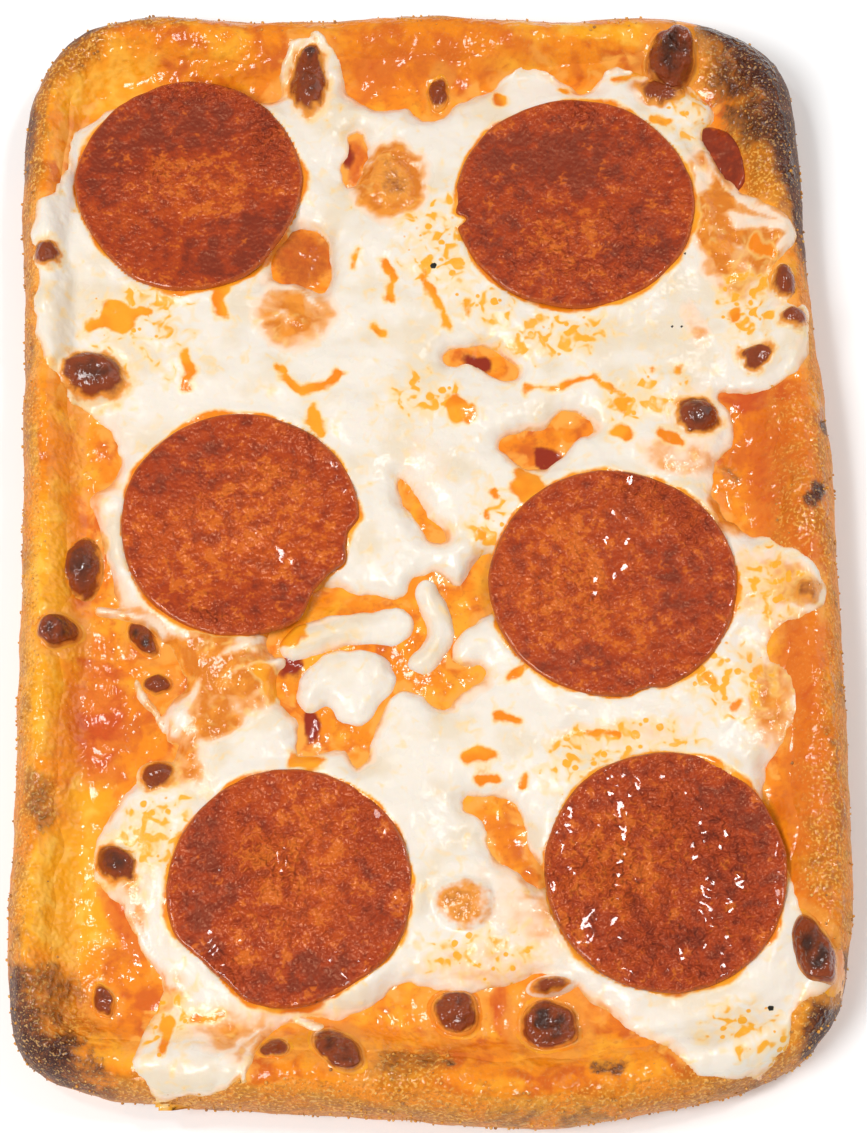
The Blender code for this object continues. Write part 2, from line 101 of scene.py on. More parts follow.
CHEESE_OPENINGS = (
    ((-19, -11), (-10, -12.5), (-2.5, -13.5), (-1.5, -9), (5, -8.5), (8, -10.5), (12.5, -4.5), (15, -5), (15, -15),
     (10.5, -18.5), (7.5, -22), (6.5, -26), (13, -28.5), (9, -33), (5, -36), (-1, -32), (-5.5, -33.5), (-8, -40),
     (-11.5, -47.5), (-14, -44), (-19, -44.5), (-23, -45), (-22.5, -39), (-27, -35), (-26.5, -28), (-30, -22.5),
     (-27, -18)),
    ((-30, 54.5), (-28, 62), (-24, 66), (-19.5, 64), (-18, 57), (-19, 52), (-25, 53)),
    ((-13, 87.5), (-10.5, 84), (-12, 79), (-14.5, 75.5), (-15, 82)),
    ((5, 38), (11, 40), (16, 38.5), (19.5, 33), (16.5, 32.5), (12, 35)),
    ((16.5, 18), (20, 21.5), (24.5, 22), (29, 25.5), (35, 21.5), (31, 19), (28, 15), (24, 13.5)),
    ((8.5, -54), (13, -53), (18.5, -54), (20.5, -62), (24.5, -71), (19.5, -68.5), (13, -63), (12, -58)),
    ((-4, 11.5), (-1.5, 9.5), (2, 3.5), (5.5, -1.5), (2.5, -1), (-2.5, 6)),
)
SHREDS = {
    "cheese_shred_bar": (
        (-26, -24.8), (-25, -20.8), (-19, -18.2), (-9, -16.8), (-3, -16.2), (-1.5, -19.5), (-3.5, -22),
        (-11, -22.2), (-17, -23.4),
    ),
    "cheese_shred_curl": (
        (0, -11.5), (2.5, -10.5), (4, -13), (6, -17), (6.4, -21), (4.5, -25.5), (1, -28.3), (-1.5, -26.8),
        (1, -23.5), (2, -20.5), (1, -16),
    ),
    "cheese_lump": (
        (-18, -25.5), (-11, -24.5), (-6, -26.5), (-5, -30.5), (-8, -35), (-11, -38.5), (-14, -38), (-17.5, -34.5),
        (-21.5, -36), (-23, -32.5),
    ),
}
# Oil that lies on the cheese: (width, the points of a line)
OIL_STROKES = (
    (5, ((8, 25.6), (8.6, 24.6))), (6, ((22, 9), (24, 6.5))), (2.2, ((20, 12), (21.5, 5))),
    (1.8, ((15, 7.4), (15.2, 7))), (1.4, ((13.5, 3.4), (13.6, 3))), (2, ((12, -0.5), (12.3, -1))),
    (3.4, ((40.5, 21), (41, 20))), (2.4, ((40, 26.3), (40.4, 26))), (3.6, ((49, 19.5), (50, 19))),
    (1.2, ((22, 29.3), (27, 30.3), (35, 32.3), (41, 27.3))), (5, ((-62, 46.5), (-60, 44))),
    (2.4, ((-64, 44), (-66, 43))), (2, ((-60, 46), (-55, 46.5))), (2.8, ((-40, 52), (-40, 46))),
    (2, ((-46, 37), (-46, 30))), (2.2, ((-28, 33), (-23, 28.6), (-16, 32.4))), (3, ((-21, 24), (-20, 21))),
    (3.6, ((-23.5, -46.4), (-19.5, -47))), (3.2, ((10, -45.6), (13.5, -46.4))), (1.8, ((12, -50.2), (14.5, -50))),
    (2, ((19.8, -51), (20.4, -50.6))), (2.2, ((15, -38), (19, -38.4))), (1.6, ((6, 44), (3, 49), (1, 54))),
    (1.8, ((-7, 57), (-5, 53), (-6, 49))), (1.4, ((10, 48), (10, 46))), (1.4, ((-12, 60), (-12.5, 57))),
    (1.6, ((17, -30), (20, -28.5))), (1.4, ((33, -41), (38, -42))), (2.2, ((63, 46), (63.4, 45))),
    (1.6, ((52, 33.4), (52.2, 33.2))), (1.4, ((47.6, 33.6), (48, 33.4))), (2, ((68, 61), (71, 57.5))),
    (2.4, ((-47, -101), (-46, -96))), (1.8, ((-41, -96), (-36, -95))), (1.8, ((-51, 86), (-50, 85))),
    (2, ((41, 98.5), (46, 101))), (2.4, ((16.5, 95), (17.3, 94.2))), (1.4, ((29.5, 97), (30.5, 96.5))),
    (2, ((48, 90), (52, 89))), (1.6, ((-8.5, 43), (-7, 42))), (5.6, ((-28, -16), (-25, -20.4))),
    (3.4, ((-29.5, -29), (-28, -33))), (1.6, ((56, -30), (57, -30.4))), (1.6, ((61, -36), (61.6, -36))),
    (2, ((65, -29), (65.4, -28.6))),
)
# Where the cheese is speckled with fine oil
SPECKLED = (
    (27, 41.5, 14, 6, 5), (14, 47, 6, 5, 0), (45, 27, 9, 7, 0), (67, -11, 10, 9, 0), (60, -31, 11, 10, 0),
    (62, -99, 12, 7, -20), (40, -42, 14, 5, 0), (57, 93, 8, 8, 0), (-56, 47, 10, 6, 0), (32, -48, 10, 8, 0),
    (15, 2, 6, 9, 0), (-48, -96, 8, 8, 0), (-44, 89, 8, 5, 0), (66, 48, 7, 12, 0), (2, 28, 10, 6, 0),
    (-56, 38, 14, 8, 0, 0.6), (4, 60, 10, 12, 0), (-50, -60, 8, 10, 0), (12, -83, 12, 6, 0),
)
# Where the cheese is so thin that the sauce shows through it
THIN_CHEESE = (
    (66, -11, 9, 8, 0, 0.6), (73, -12, 4, 5, 0, 0.6), (62, 6, 6, 8, -30, 1.2), (68, -34, 5, 9, 0, 1.1),
    (75, -14, 3, 4, 0, 0.9), (52, 15, 10, 4, -12, 0.7), (-25, 46, 9, 8, 0, 1), (-5.5, 75.5, 8, 9, 0, 1.7),
    (61.5, 66, 6, 18, 12, 1.7), (68.5, 58.5, 6, 5, 20, 1.6), (70, 65, 9, 8, 0, 0.8), (58.5, 76.5, 2.2, 4.5, 0, 1.9),
    (-22.5, 98, 5.2, 9, 0, 0.75), (55.5, 44, 3, 6, 15, 0.6), (-56, -20, 10, 6, -30, 0.85), (-65, -8, 5, 9, 0, 1.6),
    (-40, -28, 16, 9, -12, 1.5), (-38.5, -38, 5, 5, 0, 1.5), (-47, -45, 7, 8, 0, 0.9), (-42, -50, 3, 5, 40, 0.6),
    (-66, 4, 5, 9, 0, 0.7), (55, 24, 7, 8, 0, 0.4), (69, -38, 5, 9, 0, 0.6), (-53, -68, 5, 12, 0, 0.4),
    (-24, 60, 6, 8, 0, 0.8), (-47, -91, 5, 5, 0, 0.9), (-30, -100, 8, 5, 0, 0.9), (50, 97, 7, 4, 0, 0.9),
    (40, -41, 18, 4, 6, 0.45), (24, -76, 8, 8, 0, 0.6), (-55, -73, 4, 8, 20, 0.6), (-33, -96, 14, 5, 5, 0.55),
    (12, -86, 14, 5, 0, 0.5), (-54, 84, 9, 8, 0, 0.4), (1, 13, 7, 8, 0, 0.25), (-51, -46, 5, 5, 0, 0.5),
    (13, -73, 7, 8, 0, 0.3), (75, -86, 4, 8, 0, 0.4),
)
# Strands and folds of cheese: (width, how far it stands out, the points of a line)
STRANDS = (
    (2.8, 0.5, ((-61, 5), (-59.5, -6), (-55, -13), (-50, -17), (-45, -21.5))),
    (2, 0.4, ((-63, -16), (-58, -16.5), (-53, -18.5), (-49, -21))),
    (1.3, 0.4, ((-54.5, -30.5), (-53, -34), (-50, -37.5), (-48.5, -40))),
    (3.2, 0.5, ((-46.5, -41), (-44.5, -35), (-42, -31.5))), (2, 0.4, ((-38.5, -26), (-35, -24.4), (-31, -22.8))),
    (2.4, 0.4, ((-35.5, -29.2), (-31, -28.4), (-27, -26.6))),
    (2.2, 0.7, ((58, 85), (60, 79.5), (63.5, 73.3), (69, 68.4), (74, 65.4), (75.2, 62), (72.5, 58.5))),
    (1.6, 0.5, ((57, 80), (58, 72), (59.5, 65), (62, 58))), (3.4, 0.5, ((64, 66.5), (68, 64.5), (73, 63.5))),
    (1.8, 0.5, ((-54.5, -74), (-50.5, -82), (-46, -88), (-42, -92))),
    (1.5, 0.4, ((-38, -104), (-33, -101), (-29, -97), (-24, -95), (-18, -97))),
    (1.3, 0.4, ((-31, -107), (-30.5, -102), (-29, -98))),
    (1.5, 0.4, ((-18.2, 91), (-17.2, 98), (-19, 104), (-22, 107.3))),
    (1.3, 0.4, ((-28, 94), (-28.6, 100), (-26, 105.8))),
    (2.4, 0.8, ((77.5, 46), (77.2, 39), (73, 32.5), (67, 31), (62, 31))),
    (1.4, 0.4, ((-33.5, 49), (-30, 53), (-25, 52.5), (-20, 48))), (1.2, 0.4, ((-33, 43), (-28, 46.5), (-23, 44))),
    (1.3, 0.4, ((-10, 80), (-5, 82.5), (0.5, 79), (1.5, 73))), (3, 0.35, ((-10, 64), (-2, 58), (8, 53), (20, 44))),
    (2.6, 0.3, ((28, 33), (36, 31), (44, 34), (52, 31))), (2.4, 0.3, ((-14, 22), (-8, 12), (-4, 2))),
    (2.6, 0.3, ((-4, 20), (4, 26), (14, 26))), (2.6, 0.35, ((-8, -50), (0, -58), (6, -66))),
    (2.6, 0.35, ((28, -38), (40, -37), (52, -40))),
)
# Bubbles in the cheese: an oval, how high it rises, and how dark it baked
BUBBLES = (
    (-22.8, 97.5, 3.6, 6.6, 0, 2.6, 0.9), (-22.4, 102.6, 2.2, 2.2, 0, 1.2, 1), (73.5, 51.5, 2.3, 3.8, 0, 2, 0.85),
    (75, 43.2, 2.6, 2.4, 0, 1.6, 0.75), (67.6, 36, 2.8, 2.7, 0, 1.8, 0.8), (55.6, 24, 4, 3.4, 0, 2.6, 0.95),
    (-65, 32.4, 6, 5, -12, 3, 0.97), (-65.4, -7.5, 3.2, 6, 0, 2.8, 0.95), (-49.6, -49, 3.6, 2.6, 0, 1.8, 0.85),
    (-57, -66.3, 3.9, 3.3, -25, 2.4, 1), (-75, 57.2, 2.6, 2.8, 0, 1.4, 0.8), (8.6, -74, 5.6, 5, 0, 1.3, 0.36),
    (-5.5, 75, 4.6, 6, 20, 0.9, 0.4), (75, -14, 2.4, 2.8, 0, 1.6, 0.45), (25, -89, 4.2, 1.8, 10, 1, 0.6),
    (50.5, 96.5, 5.2, 3.4, 0, 1.4, 0.62),
)
# Blisters off the sheet, one for each CAD node
BLISTERS = {
    "burnt_bit_top": (4, 96.2, 2.2, 3.6, 0, 2.2, 0.75),
    "burnt_bit_top_right": (52.4, 102.6, 5.2, 6.4, -8, 7, 1),
    "burnt_bit_left_rim": (-69.4, -21.3, 4.1, 3, 25, 2.6, 0.95),
    "burnt_bit_left": (-53.4, -21.9, 4, 2.2, -50, 2.2, 0.95),
    "burnt_bit_left_low": (-50.3, -31, 2.4, 2.1, 0, 1.8, 0.8),
    "burnt_bit_corner": (-58.3, -92, 1.9, 3.2, 20, 1.8, 0.75),
    "burnt_bit_bottom_small": (-26.2, -101.2, 2.9, 1.9, 0, 1.4, 0.7),
    "burnt_bit_bottom_long": (-14.4, -101.5, 5.8, 3.2, -35, 2.6, 0.92),
    "burnt_bit_bottom": (6.8, -94.2, 4.8, 4, -10, 3.2, 0.75),
    "burnt_bit_black": (24.6, -96.5, 5.1, 4.7, 0, 3.8, 1),
    "burnt_bit_right_rim": (73, -83.3, 3.6, 7, 18, 3.2, 0.97),
}
# Slices: an oval, how orange it baked, its dents (direction, width, depth), and how much it glistens
SLICES = {
    "pepperoni_top_left": (-47, 74.3, 23.4, 23.5, 0, 0.1, ((215, 35, 0.9), (330, 30, 0.8)), 0.35),
    "pepperoni_top_right": (31.8, 70.3, 24.5, 23.4, 0, 0.15, ((190, 4, 1.8),), 0.5),
    "pepperoni_middle_left": (-34.9, 1.1, 23.5, 23.2, 0, 0.75, ((-10, 14, 2.2), (-38, 24, 3.2)), 0.35),
    "pepperoni_middle_right": (37.8, -11, 24.2, 23.2, 0, 0.65, ((285, 10, 0.9), (150, 30, 0.5)), 0.5),
    "pepperoni_bottom_left": (-24, -71, 23, 22.5, 0, 0.5, ((228, 26, 1.5), (300, 26, 0.9)), 0.55),
    "pepperoni_bottom_right": (46.6, -67.8, 22.8, 23.1, 0, 0.4, ((100, 30, 0.6),), 0.9),
}
# The outline of the slice that is tucked under the cheese
TUCKED_SLICE = (
    (57, 85), (59.5, 89.2), (62.8, 88.4), (65.5, 84), (66.6, 79), (66.2, 74), (62, 74), (58.5, 79.5),
)
# Marks on the slices: where they glisten, where they are dull and dark, and where they are rich in fat
GLISTENING = (
    (-46, 96, 15, 4.5, 0, 1), (-31, 86, 4.5, 11, 10, 1), (-52, 76, 13, 6, 0, 0.6), (34, 90, 4, 3, 0, 1.2),
    (34, 61, 17, 9, 0, 0.65), (-24, 20.5, 7, 2.4, -35, 1.2), (-34, 6, 13, 8, 0, 0.55), (-40, -18, 9, 2, -8, 1),
    (47, 8.5, 11, 4.5, -25, 1.1), (54, 1, 4, 7, 20, 1), (30, -13, 8, 10, 0, 0.5), (-28, -69, 8, 13, 0, 0.9),
    (-10, -62, 5, 7, 0, 0.9), (-37, -87, 7, 4, -20, 0.8), (44, -70, 22, 19, 0, 0.9), (39, -76, 11, 7, 0, 1),
    (48, -87, 8, 4, 0, 1),
)
DULL = (
    (-50, 88, 18, 7, 0, 0.9), (-36, 62, 12, 8, 40, 0.9), (-64, 80, 6, 12, 0, 0.7), (28, 80, 20, 9, 0, 1),
    (46, 62, 8, 12, 0, 0.6), (14, 64, 7, 10, 0, 0.5), (-46, 12, 10, 8, 30, 0.7), (-20, -14, 12, 5, 0, 0.5),
    (52, -14, 9, 12, 0, 0.6), (30, -28, 14, 5, 0, 0.5), (-40, -70, 5, 17, 0, 0.9), (-20, -88, 16, 5, 0, 0.8),
    (-10, -76, 8, 8, 0, 0.5), (60, -62, 9, 14, 0, 0.7), (52, -82, 12, 6, 0, 0.4),
)
FATTY = (
    (-46, 74, 10, 9, 0, 0.7), (-36, 70, 8, 7, 0, 0.5), (32, 64, 10, 7, 0, 0.5), (-32, 2, 15, 12, 0, 0.9),
    (-44, -8, 8, 6, 0, 0.6), (28, -10, 10, 14, 0, 0.8), (42, -20, 12, 7, 0, 0.7), (-22, -66, 11, 14, 0, 0.8),
    (-30, -82, 9, 5, 0, 0.5), (38, -66, 12, 12, 0, 0.7),
)
# Marks on the dough and the sauce
CHARRED = (
    (-74, 107, 13, 4.5, 38, 0.75), (-81, 84, 3, 14, 3, 0.65), (-62, 113, 14, 3, 2, 0.6), (-72, -54, 3.5, 6, 0, 0.5),
    (-3, -104, 9, 5, 0, 0.6), (-70, -60, 3, 3, 0, 0.4), (-79, -40, 2, 16, 0, 0.5), (30, -114, 30, 2.6, 4, 0.5),
    (82, -20, 2, 20, 0, 0.45), (62, 12, 2.6, 2, 0, 0.5), (70, 97, 10, 18, 12, 0.75), (62, 108, 12, 7, -35, 0.65),
    (71, 80, 5, 12, 5, 0.45), (64, 111, 14, 4.5, -30, 1), (74, 101, 9, 8, 20, 1), (79, 72, 5, 22, 4, 1),
    (77, 88, 6, 20, 5, 1), (-76, -93, 5, 9, 5, 0.85), (-70, -103, 10, 5, -40, 0.7), (-71, -94, 10, 12, 0, 0.62),
    (-62, -104, 10, 5, -25, 0.7), (76, -99, 9, 6, 45, 1), (79, -90, 5, 10, -10, 0.8),
    (77.6, 5.5, 2.6, 3.6, 0, 0.95), (80, 21, 1.4, 2, 0, 0.8), (35, -104.6, 5, 2.4, 6, 0.75),
    (6, -104, 1.6, 1.2, 0, 0.7), (13, -107, 3, 1, 0, 0.6), (78, -42, 2, 2, 0, 0.5), (-62, -109, 10, 3, -15, 0.5),
    (60, -109, 12, 3, 15, 0.55), (69.5, -40, 1.6, 1.5, 0, 0.95), (82, -62, 2.5, 14, 0, 0.35),
    (-80, 92, 3.5, 14, 5, 0.45), (-66, 112, 12, 3.5, 12, 0.5),
)
BROWNED = (
    (-20, -114, 50, 3.5, -1, 0.6), (-55, -111, 20, 3, -4, 0.8), (55, -109, 18, 4, 12, 0.55),
    (-80, 40, 2.6, 50, 2, 0.7), (74, 10, 7, 28, 0, 0.45), (76, -60, 5, 28, 0, 0.4), (-74, 105, 17, 7, 38, 1.1),
    (-80, 88, 5, 18, 3, 1), (-60, 113, 24, 4.5, 2, 1), (68, 104, 15, 10, -38, 1.15), (72, 88, 9, 26, 5, 1.1),
    (60, 104, 6, 8, 0, 0.7), (-71, -55, 4, 6, 0, 0.75), (-2, -104.5, 9, 6, 0, 0.85), (-70, -96, 13, 13, 0, 0.85),
    (-76, -60, 4, 60, 0, 0.55), (-79, 30, 3.5, 60, 2, 0.5), (20, -112, 60, 4.5, -1, 0.35),
    (45, -108, 22, 4, 10, 0.35), (81, -40, 4, 50, 0, 0.55), (80, 30, 3, 40, 0, 0.45), (0, 114, 50, 2.5, 0, 0.6),
    (70, -100, 14, 8, 40, 0.7), (-73, -75, 4, 8, 0, 0.5), (76, -70, 4, 14, 0, 0.5), (-40, -109, 30, 3, -3, 0.6),
    (75, 4, 5, 6, 0, 0.4), (62, 12, 3, 2.4, 0, 0.5),
)
GOLDEN = (
    (-66, 97, 14, 7, 30, 0.7), (-66, -72, 10, 16, 0, 1), (-72, -20, 6, 34, 0, 0.8), (40, 108, 18, 3, -4, 0.8),
    (-62, -52, 5, 8, 0, 0.9), (-72, 40, 4, 30, 0, 0.3), (76, -20, 4, 24, 0, 0.4),
)
REDDENED = (
    (-24, 59, 7, 9, 0, 0.75), (-13, 81, 2.5, 6, 0, 0.9), (72, 5, 10, 34, 0, 0.75), (75, -55, 7, 38, 0, 0.7),
    (0, 104, 40, 7, 0, 0.5), (74, -28, 5, 9, 0, 0.8), (66, 28.5, 8, 3.4, -8, 1), (-61, -27.5, 6, 2, -15, 1),
    (-54, -78, 2.4, 6, 20, 1), (-61, -40, 7, 13, 0, 1), (-56, -77, 3, 8, 25, 0.8), (16, -94, 2.6, 7, 10, 0.9),
    (68, 29, 9, 3, -8, 0.9), (-10, 99, 6, 5, 20, 0.5), (-63, 11, 4, 8, 0, 0.4), (70, 12, 4, 9, 0, 0.35),
    (-35, -98, 7, 4, 0, 0.5), (-64, -22, 9, 3, -20, 0.7), (33, -92, 7, 2, -30, 0.6), (60, 80, 3, 9, 10, 0.6),
    (16, -61, 3, 8, 30, 0.5),
)
# Painted shade: the sauce is painted dark deep in the cheese's gaps, where the cheese shades it
SHADED_GAPS = (
    (-24, 59.5, 8, 10, 0, 0.52), (-24, -27.7, 3, 3.5, 0, 1), (-20.5, -39, 2, 4, 0, 1), (12, 36, 3.6, 2.6, -30, 1),
    (25.5, 15.5, 3.6, 2, -30, 1), (-15, 83, 2, 5, 0, 0.8),
)
# Black specks on the cheese: (x, y, radius)
SPECKS = (
    (3, 56, 0.7), (54, 59, 0.4), (51, 43, 0.35), (53, 43, 0.35), (-19, -13, 0.7), (-54.5, -107, 0.7),
    (65, -94, 0.6), (68.5, 15.6, 0.7), (68.7, 14.8, 0.5), (-62.5, 64, 0.3),
)


def linear(code):
    """A colour written as sRGB hex, as linear red, green, blue and alpha."""
    parts = [int(code[i:i + 2], 16) / 255.0 for i in (1, 3, 5)]
    return (*(p / 12.92 if p <= 0.04045 else ((p + 0.055) / 1.055) ** 2.4 for p in parts), 1.0)


def amount(name, description, default, unit="NONE"):
    return bpy.props.FloatProperty(name=name, description=description, default=default, unit=unit, min=0.0)


def length(name, description, millimetres):
    return amount(name, description, millimetres * MM, "LENGTH")


def colour(name, description, code):
    return bpy.props.FloatVectorProperty(
        name=name, description=description, default=linear(code), subtype="COLOR", size=4, min=0.0, max=1.0
    )


class PIZZA_PG_dough(bpy.types.PropertyGroup):
    """The dough and the semolina on it."""

    crest: length("Rim height", "Height of the puffed rim above the table", 18.0)
    rim: length("Rim width", "Width of the rim", 16.0)
    rim_left: length("Left rim width", "Width of the rim on the left side", 12.5)
    lumps: length("Lumps", "How far the dough's lumps stand out", 0.6)
    grain: length("Semolina grain", "Size of the largest semolina grains", 0.9)
    grains: bpy.props.IntProperty(
        name="Semolina grains", description="How many grains stuck to the dough", default=1300, min=0
    )
    crumb: colour("Baked dough", "Dry dough on the outside of the rim", "#EC8A1C")
    pale: colour("Floury dough", "Dough with flour left on it", "#E8A234")
    golden: colour("Golden dough", "Well baked dough with oil in it", "#F5A41C")
    toasted: colour("Toasted dough", "Dough that baked brown", "#B86A14")
    char: colour("Charred dough", "Dough that burnt in the oven", "#421E14")
    semolina: colour("Semolina", "Toasted semolina grains", "#E09A3C")


class PIZZA_PG_sauce(bpy.types.PropertyGroup):
    """The sauce and the orange oil on it."""

    film: length("Thickness", "Thickness of the sauce", 1.35)
    lumps: length("Lumps", "How far the sauce's lumps stand out", 0.28)
    oil: colour("Oil", "Orange oil from the pepperoni and the cheese", "#EE8616")
    oil_dark: colour("Deep oil", "Oil where it lies deep", "#D0621A")
    tomato: colour("Tomato", "Sauce with little oil on it", "#C8501A")
    # Painted shade: the dark sauce deep in the cheese's gaps
    shade_in_gaps: colour("Sauce in painted shade", "Sauce painted dark as shade deep in the cheese's gaps", "#8E2A12")


class PIZZA_PG_cheese(bpy.types.PropertyGroup):
    """The melted cheese and the bubbles that browned in it."""

    level: length("Height", "Height of the cheese above the table", 14.3)
    waves: length("Waves", "How uneven the cheese is", 0.6)
    lip: length("Edge", "Width over which the cheese rounds off at its edge", 2.1)
    cream: colour("Cheese", "Melted mozzarella", "#EAE0D2")
    warm: colour("Warm cheese", "Cheese with a little oil in it", "#E4D4BC")
    thin: colour("Thin cheese", "Cheese that the sauce shows through", "#EBA664")
    gold: colour("First browning", "Cheese that starts to brown", "#E8963A")
    brown: colour("Browned cheese", "Browned cheese", "#8A3E1C")
    dark: colour("Dark cheese", "Cheese that baked nearly black", "#46291F")


class PIZZA_PG_pepperoni(bpy.types.PropertyGroup):
    """The pepperoni slices."""

    thickness: length("Thickness", "Thickness of a slice", 1.8)
    curl: length("Curl", "How far the edge of a slice stands up", 0.6)
    lean: colour("Lean meat", "Lean meat, baked", "#A23610")
    deep: colour("Deep meat", "Dull dark meat", "#7A2814")
    bright: colour("Oily meat", "Meat full of orange oil", "#BE4C10")
    fat: colour("Fat", "Flecks of fat", "#DA6E1C")


class PIZZA_PG_stage(bpy.types.PropertyGroup):
    """The light, the floor and the camera."""

    distance: length("Camera distance", "From the camera to the middle of the pizza", 505.0)
    lens: amount("Lens", "Focal length in millimetres, for a sensor 36 mm wide", 81.8182)
    tilt: amount("Camera tilt", "Angle from straight down", math.radians(18.0), "ROTATION")
    key: amount("Key light", "Power of the large light in watts", 5.2)
    sky: amount("Sky", "Strength of the light from all round", 0.36)
    ground: colour("Floor", "Plain floor", "#FFFFFF")


# Places in the plane, in millimetres: x and y are arrays of the same length


def smoothstep(low, high, value):
    share = np.clip((value - low) / (high - low), 0.0, 1.0)
    return share * share * (3.0 - 2.0 * share)


def unevenness(x, y, *waves, z=0.0):
    """Smooth hills and hollows. Each wave is about how high it is, its size in millimetres and its own seed."""
    total = 0.0
    for height, size, seed in waves:
        rows = np.stack([x / size, y / size, np.broadcast_to(z / size + seed, np.shape(x))], axis=-1)
        total = total + height * np.array([1.6 * noise.noise(Vector(row)) for row in rows.tolist()])
    return total


def wandering(x, y, seed, *waves):
    """The same places moved a little, which gives marks uneven edges. Each wave is its height and its size."""
    numbered = [(*wave, seed + number) for number, wave in enumerate(waves * 2)]
    return x + unevenness(x, y, *numbered[:len(waves)]), y + unevenness(x, y, *numbered[len(waves):])


def higher(a, b, blend):
    """The higher of two surfaces, with a fillet where they cross."""
    share = np.clip(0.5 + 0.5 * (a - b) / blend, 0.0, 1.0)
    return a * share + b * (1.0 - share) + blend * share * (1.0 - share)


def smooth_curve(points, closed=True, steps=5):
    """Points along a smooth curve through the given ones."""
    knots = [Vector((x, y, 0.0)) for x, y in points]
    count = len(knots)
    ahead = []
    for i, knot in enumerate(knots):
        before = knots[i - 1] if closed or i > 0 else knot
        after = knots[(i + 1) % count] if closed or i + 1 < count else knot
        ahead.append(((knot - before).normalized() + (after - knot).normalized()).normalized())
    curve = []
    for i in range(count if closed else count - 1):
        start, end = knots[i], knots[(i + 1) % count]
        handle = (end - start).length / 3.0
        curve += interpolate_bezier(
            start, start + ahead[i] * handle, end - ahead[(i + 1) % count] * handle, end, steps + 1
        )[:-1]
    if not closed:
        curve.append(knots[-1])
    return np.array([(point.x, point.y) for point in curve])


def evenly(curve, count, closed=True):
    """The same curve as this many evenly spaced points."""
    line = np.vstack([curve, curve[:1]]) if closed else curve
    along = np.concatenate([[0.0], np.cumsum(np.hypot(*np.diff(line, axis=0).T))])
    wanted = np.linspace(0.0, along[-1], count + 1 if closed else count)
    even = np.stack([np.interp(wanted, along, line[:, i]) for i in (0, 1)], axis=-1)
    return even[:-1] if closed else even


def line_distance(x, y, start, end):
    """The square of the distance to a straight line between two points."""
    side_x, side_y = end[0] - start[0], end[1] - start[1]
    off_x, off_y = x - start[0], y - start[1]
    share = np.clip((off_x * side_x + off_y * side_y) / (side_x * side_x + side_y * side_y), 0.0, 1.0)
    return (off_x - side_x * share) ** 2 + (off_y - side_y * share) ** 2


def inside_distance(x, y, loops):
    """How far each point lies inside the first loop and clear of the others, below 0 where it doesn't."""
    nearest = np.full(x.shape, np.inf)
    inside = np.zeros(x.shape, bool)
    for loop in loops:
        for start, end in zip(loop, np.roll(loop, -1, axis=0)):
            nearest = np.minimum(nearest, line_distance(x, y, start, end))
            if start[1] != end[1]:
                crossing = start[0] + (y - start[1]) / (end[1] - start[1]) * (end[0] - start[0])
                inside ^= ((start[1] > y) != (end[1] > y)) & (x < crossing)
    return np.where(inside, 1.0, -1.0) * np.sqrt(nearest)


def oval_share(x, y, oval):
    """How far out each point is in a turned oval: 0 at its middle and 1 on its edge."""
    middle_x, middle_y, half_width, half_length, turn = oval[:5]
    angle = math.radians(turn)
    across = (x - middle_x) * math.cos(angle) + (y - middle_y) * math.sin(angle)
    along = (y - middle_y) * math.cos(angle) - (x - middle_x) * math.sin(angle)
    return np.hypot(across / half_width, along / half_length)


def marked(x, y, marks):
    """How strongly the marks show at each point. A mark with no strength of its own has 1."""
    clear = np.ones(x.shape)
    for mark in marks:
        strength = mark[5] if len(mark) > 5 else 1.0
        clear *= 1.0 - strength * (1.0 - smoothstep(0.45, 1.3, oval_share(x, y, mark)))
    return 1.0 - clear


def stroke_parts(strokes):
    """Each straight part of the strokes, with the stroke's own settings."""
    for *own, line in strokes:
        for start, end in zip(line, line[1:]):
            yield own, start, end


def drawn(x, y, strokes, depth):
    """Strokes: 0.5 along their edges, rising to 1 this far further in."""
    field = np.zeros(x.shape)
    for (width, *_), start, end in stroke_parts(strokes):
        out = np.sqrt(line_distance(x, y, start, end))
        field = np.maximum(field, 0.5 + (width / 2.0 - out) / 2.0 / depth)
    return np.clip(field, 0.0, 1.0)


def folds(x, y):
    """How far strands and folds stand out of the cheese."""
    field = np.zeros(x.shape)
    for (width, height), start, end in stroke_parts(STRANDS):
        field = np.maximum(field, height * np.exp(-2.0 * line_distance(x, y, start, end) / width ** 2))
    return field


# The layers, each as the height of its top over the table

OUTLINE = smooth_curve(DOUGH_OUTLINE)
PROFILE = smooth_curve(RIM_PROFILE, closed=False, steps=7)
RIM_TOP = PROFILE[np.argmin(PROFILE[:, 0]):]  # from the point furthest out, over the crest, to the floor
CHEESE_LOOPS = [smooth_curve(outline, steps=3) for outline in (CHEESE_OUTLINE, *CHEESE_OPENINGS)]
TUCKED_LOOP = smooth_curve(TUCKED_SLICE, steps=4)
INSET = 0.45  # the dough stays this far inside its outline, so that its lumps do too
SLICE_LEVEL = 13.1  # the height that the slices lie at where nothing lifts them
HOLLOW = (0.90, 0.985)  # where the side of a slice's hollow in the cheese starts and ends, as shares of the slice


def settings(part):
    return getattr(bpy.context.scene, "pizza_" + part)


def rim_width(x):
    sizes = settings("dough")
    return (sizes.rim_left + (sizes.rim - sizes.rim_left) * smoothstep(-70.0, -40.0, x)) / MM


def rim_share(x, y):
    """How far in from the dough's edge each point is, as a share of the rim's width."""
    return (inside_distance(x, y, [OUTLINE]) - INSET) / rim_width(x)


def rim_height(share):
    """The height of the top of a rim with no lumps."""
    return np.interp(share, *RIM_TOP.T) * settings("dough").crest / MM


def rim_swell(x, y, z):
    """The rim is higher in some places than in others."""
    return np.maximum(z - 10.0, 0.0) * unevenness(x, y, (0.16, 38, 0))


